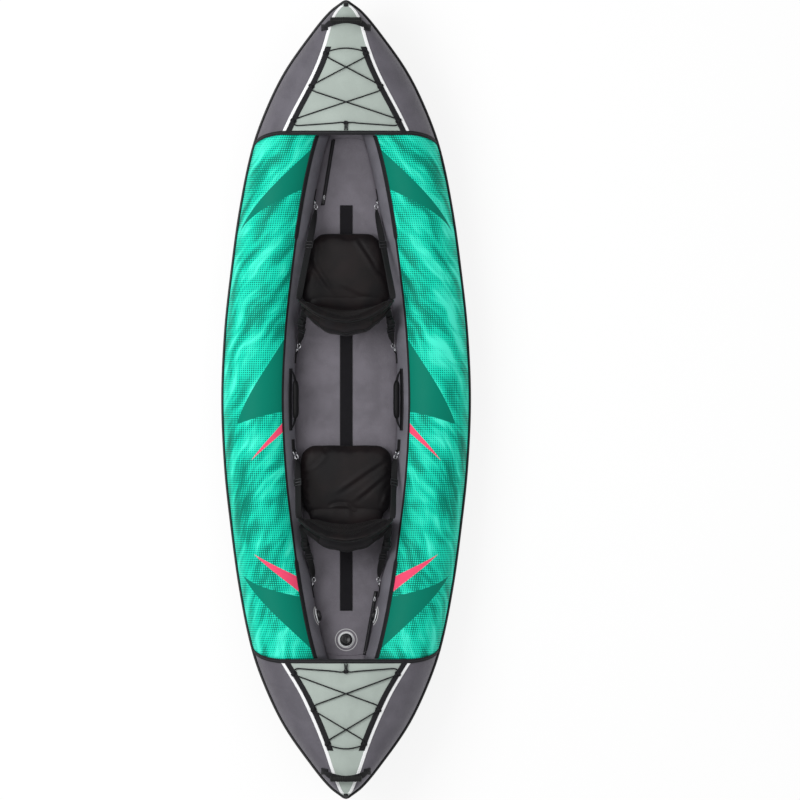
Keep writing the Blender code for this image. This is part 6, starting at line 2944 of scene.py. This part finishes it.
    def build_back(self) -> Thing:
        """The padded backrest, its welt and the band round its top.

        Returns:
            The backrest.
        """
        name = f"{self.word}_seat_back"
        back = place_object(f"{name}_pad", pillow_bmesh((26, 16, 3), self.back_point), 80.0)
        soften(back, 0.0055, 0.007)
        facing = [corner.normal.copy() for corner in back.data.vertices]
        for corner, normal in zip(back.data.vertices, facing):
            wave = ripple(Vector((corner.co.x, corner.co.z * 1.6, self.hinge_y)), 0.085, 4.0)
            corner.co += normal * (0.0024 * wave)
        fit_piece(back, self.looks.seat, "seat_fabric", body=self.back_body, nodes=(name,))
        ring = []
        for step in range(56):
            turn = 2 * pi * step / 56
            a, b = cos(turn), sin(turn)
            reach = 1 / max(abs(a), abs(b))
            power = (abs(a * reach) ** 6 + abs(b * reach) ** 6) ** (-1 / 6)
            ring.append(self.back_point(a * reach * power * 0.983, b * reach * power * 0.988, 0.15))
        path = smooth_path(ring, 3, closed=True)
        self.tube(
            f"{name}_welt", path, 0.0030, self.looks.seat_piping, "seat_fabric", dict(closed=True),
            body=self.back_body,
        )
        return back

    def pocket_point(self, a: float, v: float, out: float) -> Vector:
        """A point of the pocket's panel, where out is how far it bags out, from 0 to 1.

        Args:
            a: The share across.
            v: The share up.
            out: How far it bags out, from 0 to 1.

        Returns:
            The point.
        """
        u = a * self.pocket_share
        point, normal = self.back_middle(u, v)
        across = max(0.0, 1 - abs(a) ** 2.4)
        depth = self.pocket_depth * across * sin(pi * max(v, 0.0) ** 0.7) * out
        lumps = 0.6 * sin(a * 15 + 2.5 * v) + 0.8 * ripple(Vector((a * 0.17, v * 0.10, self.hinge_y)), 0.06)
        gather = 0.0052 * out * across * lumps * (0.3 + v)
        thin = self.back_thickness / 2 * 0.80
        return point - normal * (thin + depth + gather)

    def build_pocket(self) -> None:
        """The bag behind the backrest, with a rolled elastic mouth."""

        def surface(across: float, along: float) -> Vector:
            """The place of a sheet's point, by its two shares."""
            return self.pocket_point((2 * across - 1) * 0.99, 0.05 + 0.69 * along, 1.0)

        name = f"{self.word}_seat_pocket"
        self.sheet(
            name, (40, 24), (0.29, 0.18), surface, 0.0016, self.looks.seat, "seat_fabric", Vector((0, -1, 0)),
            body=self.back_body,
        )
        rim = [self.pocket_point((step / 20 - 1) * 0.99, 0.745, 1.0) for step in range(41)]
        self.tube(
            f"{name}_rim", rim, 0.0042, self.looks.seat_piping, "seat_fabric", dict(around=10),
            body=self.back_body,
        )

    def build_lid(self) -> None:
        """The cloth over the pocket's mouth, gathered at both sides, with a plain plate in its middle."""

        def surface(across: float, along: float, share: float = 0.97, lift: float = 0.0) -> Vector:
            """The place of a sheet's point, by its two shares.

            Args:
                across: The share across.
                along: The share along.
                share: The share of the length.
                lift: How far it is lifted.

            Returns:
                The point.
            """
            a = (2 * across - 1) * share
            point, normal = self.back_middle(a * self.pocket_share, 0.88)
            top, rim = point - normal * 0.003, self.pocket_point(a, 0.750, 1.0)
            place = Vector((a * 0.2, along * 0.06, self.hinge_y))
            gather = 0.0085 * ripple(place, 0.020, 3.0) * eased((abs(a) - 0.52) / 0.18)
            return top.lerp(rim, along) + UP * ((gather - 0.006) * sin(pi * along) + lift)

        def plate(across: float, along: float) -> Vector:
            """A place on the plate."""
            return surface(across, 0.10 + 0.84 * along, 0.56, 0.0016)

        name = f"{self.word}_seat_pocket"
        self.sheet(
            f"{name}_lid", (72, 14), (0.36, 0.06), surface, 0.0012, self.looks.seat, "seat_fabric",
            body=self.back_body,
        )
        self.sheet(
            f"{name}_plate", (30, 10), (0.21, 0.05), plate, 0.0012, self.looks.pocket, "seat_fabric",
            body=self.back_body,
        )

    def lining(self, side: int, y: float, angle: float, lift: float) -> Vector:
        """A point over the cockpit's lining."""
        return self.form.tube_point(side, y, angle, lift)

    def build_straps(self, back: Thing) -> None:
        """All four straps, their hooks and buckles, and their rings.

        Args:
            back: The backrest.
        """
        tree = mesh_tree(back)
        for side in Side:
            beside = side.value * (self.back_top / 2 + 0.004)
            for tag, (y, angle), towards in (("fore", self.rings[0], -1), ("aft", self.rings[1], 1)):
                height, reach = (0.205, self.back_wrap) if tag == "fore" else (0.190, -self.back_thickness)
                target = Vector((beside, self.hinge_y + reach, self.base_z + self.foot + height))
                hold, way, _, _ = tree.find_nearest(target)
                self.build_strap(side, tag, y, angle, towards, hold + way * 0.0006)

    def build_strap(self, side: Side, tag: str, y: float, angle: float, towards: int, hold: Vector) -> None:
        """One strap from its ring to the backrest.

        Args:
            side: The boat's side.
            tag: "fore" or "aft".
            y: The ring's place along the boat.
            angle: The ring's place round the tube.
            towards: The way that the strap leaves, 1 for the bow.
            hold: Where the strap is sewn to the backrest.
        """
        s = side.value
        radius = self.form.tube_radius
        half = self.strap_width / 2 / radius
        base = self.lining(s, y, angle, 0.0028)
        flat = (self.lining(s, y + towards * 0.045, angle, 0.0028) - base).normalized()
        across = self.lining(s, y, angle + half, 0.0028) - self.lining(s, y, angle - half, 0.0028)
        spoke = flat.cross(across).normalized()
        if spoke.x * s > 0:
            spoke.negate()
        tilt = radians(20.0)
        run = flat * cos(tilt) + spoke * sin(tilt)
        normal = spoke * cos(tilt) - flat * sin(tilt)
        stem = f"{self.word}_seat_ring_{tag}_{side.word}"
        sewn = self.word == "rear" and tag == "fore"
        strap_node = f"{self.word}_seat_strap_{tag}_{side.word}"
        self.build_tab(stem, s, (y, angle, towards), base, run, normal)
        centre = base + run * 0.0095
        ring = self.d_ring(centre, run, normal)
        fit_piece(
            place_object(f"{stem}_wire", ring), self.looks.steel, "strap_ring", nodes=() if sewn else (stem,)
        )
        hook_at = centre + run * 0.0175
        self.build_hook(f"{strap_node}_hook", hook_at, run, normal)
        eye = hook_at + run * 0.0075
        path, normals = self.strap_path(eye, hold, s)
        strap = self.ribbon(
            f"{strap_node}_web", path, normals, lambda t: self.strap_width, 0.0018,
            sag=lambda a, t: 0.0012 * sin(9 * t + a) * sin(pi * t),
        )
        bake(strap)
        self.follow(strap, self.looks.strap, "webbing", (eye, hold), nodes=(strap_node,))
        self.build_buckle(f"{strap_node}_buckle", path, normals, (eye, hold))
        if tag == "aft":
            self.build_bundle(f"{strap_node}_bundle", path, normals, (eye, hold))

    def build_tab(
        self, name: str, side: int, place: tuple[float, float, int], base: Vector, run: Vector, normal: Vector
    ) -> None:
        """The webbing tab that is sewn to the lining and folded round the ring.

        Args:
            name: The stem of its pieces' names.
            side: 1 for starboard, -1 for port.
            place: The ring's station, its angle on the tube and which way it faces.
            base: The ring's place on the lining.
            run: The way the strap runs.
            normal: The way off the lining.
        """
        y, angle, towards = place
        path = [self.lining(side, y - towards * (0.045 - 0.009 * step), angle, 0.0008) for step in range(5)]
        normals = [(point - self.lining(side, point.y, angle, -0.1)).normalized() for point in path]
        path.append(base + run * 0.004 + normal * 0.0008)
        normals.append(normals[-1])
        tab = self.ribbon(f"{name}_tab", path, normals, lambda t: self.strap_width, 0.0020)
        fit_piece(tab, self.looks.strap, "webbing")
        across = run.cross(normal)
        fold = [
            base + run * 0.0030 + normal * 0.0014 + across * (0.0115 * (step / 6 - 1)) for step in range(13)
        ]
        self.tube(f"{name}_fold", fold, 0.0038, self.looks.strap, "webbing", dict(around=10, up=normal))

    def d_ring(self, centre: Vector, run: Vector, normal: Vector) -> Shape:
        """A wire ring, straight where the tab holds it and round where the hook is.

        Args:
            centre: Its middle.
            run: The way the strap runs.
            normal: The way off the lining.

        Returns:
            The ring.
        """
        across = run.cross(normal).normalized()
        points = []
        for step in range(36):
            turn = 2 * pi * step / 36
            along = max(sin(turn) * 0.0130, -0.0068)
            points.append(centre + across * (cos(turn) * 0.0145) + run * along)
        return tube_bmesh(points, 0.0019, around=10, closed=True, up=normal)

    def build_hook(self, name: str, at: Vector, run: Vector, normal: Vector) -> None:
        """The snap hook at a strap's end: a bent wire with a gate, and its cross bar.

        Args:
            name: The piece's name.
            at: The middle of its bend.
            run: The way the strap runs.
            normal: The way off the lining.
        """
        across = run.cross(normal).normalized()
        points = []
        for step in range(21):
            turn = radians(-215.0 + 290.0 * step / 20)
            points.append(at + normal * (0.0068 * cos(turn)) + run * (0.0085 * sin(turn)))
        wire = tube_bmesh(smooth_path(points, 2), 0.0019, around=10, up=across)
        bar_middle = at + run * 0.0085
        bar = [bar_middle + across * (0.0140 * (step / 4 - 1)) for step in range(9)]
        rod = tube_bmesh(bar, 0.0019, around=10, up=normal)
        fit_piece(place_object(name, join_bmeshes(wire, rod)), self.looks.steel, "strap_ring")

    def strap_path(self, start: Vector, end: Vector, side: int) -> tuple[Line, Line]:
        """A strap's middle line, kept off the tube, and the way its face looks.

        Args:
            start: Where it starts.
            end: Where it ends.
            side: 1 for starboard, -1 for port.

        Returns:
            The line and the directions.
        """
        form = self.form
        points, normals = [], []
        steps = 30
        for step in range(steps + 1):
            point = start.lerp(end, step / steps)
            x, z, half_width, _ = form.tube_section(point.y)
            spoke = form.off_axis(side, point)
            turn = radians(74.0) * sin(pi * step / steps) ** 0.6
            clear = half_width + 0.0040 + self.strap_width / 2 * sin(turn)
            if spoke.length < clear:
                spoke = spoke.normalized() * clear
                point = Vector((side * x + spoke.x, point.y, z + spoke.z))
            points.append(point)
            inward = spoke.normalized()
            normals.append(inward * cos(turn) + square_to(inward, UP) * sin(turn))
        return points, normals

    def build_bundle(self, name: str, path: Line, normals: Line, ends: tuple[Vector, Vector]) -> None:
        """The strap's spare length, folded to and fro on the strap and held by a band.

        Args:
            name: The piece's name.
            path: The strap's middle line.
            normals: Which way the strap faces, point by point.
            ends: The strap's two ends.
        """
        row = round(0.62 * (len(path) - 1))
        forward = run_at(path, row)
        up = square_to(forward, normals[row])
        line, faces = [], []
        for fold in range(4):
            way = 1 if fold % 2 == 0 else -1
            half = 0.026 - 0.002 * fold
            base = path[row] + up * (0.0042 + 0.0052 * fold)
            for step in range(5):
                line.append(
                    base + forward * (way * half * (step / 2 - 1)) + up * (0.0012 * sin(pi * step / 4))
                )
                faces.append(up * way)
            if fold < 3:
                hub = base + forward * (way * half) + up * 0.0026
                for step in range(1, 6):
                    turn = pi * step / 6
                    line.append(hub + forward * (way * 0.0026 * sin(turn)) - up * (0.0026 * cos(turn)))
                    faces.append(up * (way * cos(turn)) - forward * sin(turn))
        bundle = self.ribbon(name, line, faces, lambda t: self.strap_width * 0.94, 0.0014, columns=2)
        self.follow(bake(bundle), self.looks.strap, "webbing", ends)
        across = forward.cross(up)
        ring = []
        for step in range(24):
            turn = 2 * pi * step / 24
            wide, tall = cos(turn), sin(turn)
            power = (abs(wide) ** 4 + abs(tall) ** 4) ** -0.25
            ring.append(path[row] + up * (0.0105 + 0.0135 * tall * power) + across * (0.0138 * wide * power))
        band = place_object(f"{name}_band", tube_bmesh(ring, 0.0022, closed=True))
        self.follow(band, self.looks.cord, "webbing", ends)

    def build_buckle(self, name: str, path: Line, normals: Line, ends: tuple[Vector, Vector]) -> None:
        """A ladder buckle on the strap: a frame with two bars.

        Args:
            name: The piece's name.
            path: The strap's middle line.
            normals: Which way the strap faces, point by point.
            ends: The strap's two ends.
        """
        row = round(0.40 * (len(path) - 1))
        forward = run_at(path, row)
        up = square_to(forward, normals[row])
        place = basis(path[row] + up * 0.0024, forward, up)
        rails = [((0.0034, 0.030, 0.0048), (x, 0.0, 0.0)) for x in (-0.0145, 0.0145)]
        bars = [
            ((0.029, size, 0.0040), (0.0, y, 0.0006)) for y,
            size in ((-0.0132, 0.0036), (0.0, 0.0048), (0.0132, 0.0036))
        ]
        parts = [block_bmesh(size, 0.0014, place @ Matrix.Translation(at)) for size, at in rails + bars]
        self.follow(place_object(name, join_bmeshes(*parts)), self.looks.buckle, "strap_ring", ends)


def mesh_tree(thing: Thing) -> BVHTree:
    """A tree of a piece's faces, for casting rays at it.

    Args:
        thing: The piece.

    Returns:
        The tree.
    """
    mesh = thing.data
    return BVHTree.FromPolygons(
        [corner.co.copy() for corner in mesh.vertices], [tuple(face.vertices) for face in mesh.polygons]
    )


def soften(thing: Thing, voxel: float, cap: float, frames: int = 20) -> None:
    """Fill a pad by cloth simulation under air pressure.

    Args:
        thing: The pad, whose mesh is replaced.
        voxel: The remesh's size.
        cap: The furthest that a point may move.
        frames: How many frames the simulation runs.
    """
    remesh = thing.modifiers.new("even mesh", "REMESH")
    remesh.mode = "VOXEL"
    remesh.voxel_size = voxel
    bake(thing)
    rest = [corner.co.copy() for corner in thing.data.vertices]
    cloth = thing.modifiers.new("cloth", "CLOTH")
    cloth.settings.use_pressure = True
    cloth.settings.uniform_pressure_force = 4.0
    cloth.settings.effector_weights.gravity = 0.0
    cloth.settings.quality = 5
    cloth.point_cache.frame_start = 1
    cloth.point_cache.frame_end = frames
    for step in range(1, frames + 1):
        bpy.context.scene.frame_set(step)
    bake(thing)
    bpy.context.scene.frame_set(1)
    for corner, start in zip(thing.data.vertices, rest):
        move = corner.co - start
        if move.length > cap:
            corner.co = start + move * (cap / move.length)
    smooth = thing.modifiers.new("smooth", "SMOOTH")
    smooth.factor = 0.5
    smooth.iterations = 4
    finer = thing.modifiers.new("finer", "SUBSURF")
    finer.levels = 1
    finer.render_levels = 1
    bake(thing)
    thing.data.shade_smooth()


# -- the boat


def main() -> None:
    """Dress the boat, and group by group."""
    logging.basicConfig(level=logging.INFO, format="%(name)s: %(message)s")
    clear_default_scene()
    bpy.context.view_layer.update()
    groups: list[SubAssembly | Studio] = [
        Studio(),
        Lacing(),
        Skins(),
        Decks(),
        Floor(),
        Valves(),
        Handles(),
        Seat(
            word="front", hinge_y=0.360, base_z=0.10509, lean=0.030,
            rings=((0.800, radians(176.0)), (0.190, radians(172.0))),
            creases=(
                (-0.142, 0.222, -0.066, 0.070, 0.013, 1.0), (0.045, 0.296, 0.113, 0.150, 0.011, -0.8),
                (0.122, 0.268, 0.172, 0.160, 0.013, -0.9), (-0.020, 0.090, 0.110, 0.055, 0.016, 0.45),
            ),
        ),
        Seat(
            word="rear", hinge_y=-0.490, base_z=0.10390, lean=0.060,
            rings=((-0.205, radians(157.0)), (-0.750, radians(176.0))),
            creases=(
                (0.189, 0.252, -0.035, 0.124, 0.013, -1.0), (0.196, 0.200, 0.030, 0.090, 0.012, -0.9),
                (-0.066, 0.055, 0.010, 0.072, 0.010, -0.7), (0.005, 0.072, 0.068, 0.040, 0.010, -0.6),
                (-0.076, 0.290, -0.150, 0.208, 0.012, 0.6), (0.185, 0.150, 0.130, 0.060, 0.011, 0.7),
            ),
        ),
    ]
    for group in groups:
        group.build()
        log.info("%s done", type(group).__name__)
    bpy.context.view_layer.update()


if __name__ == "__main__":
    main()
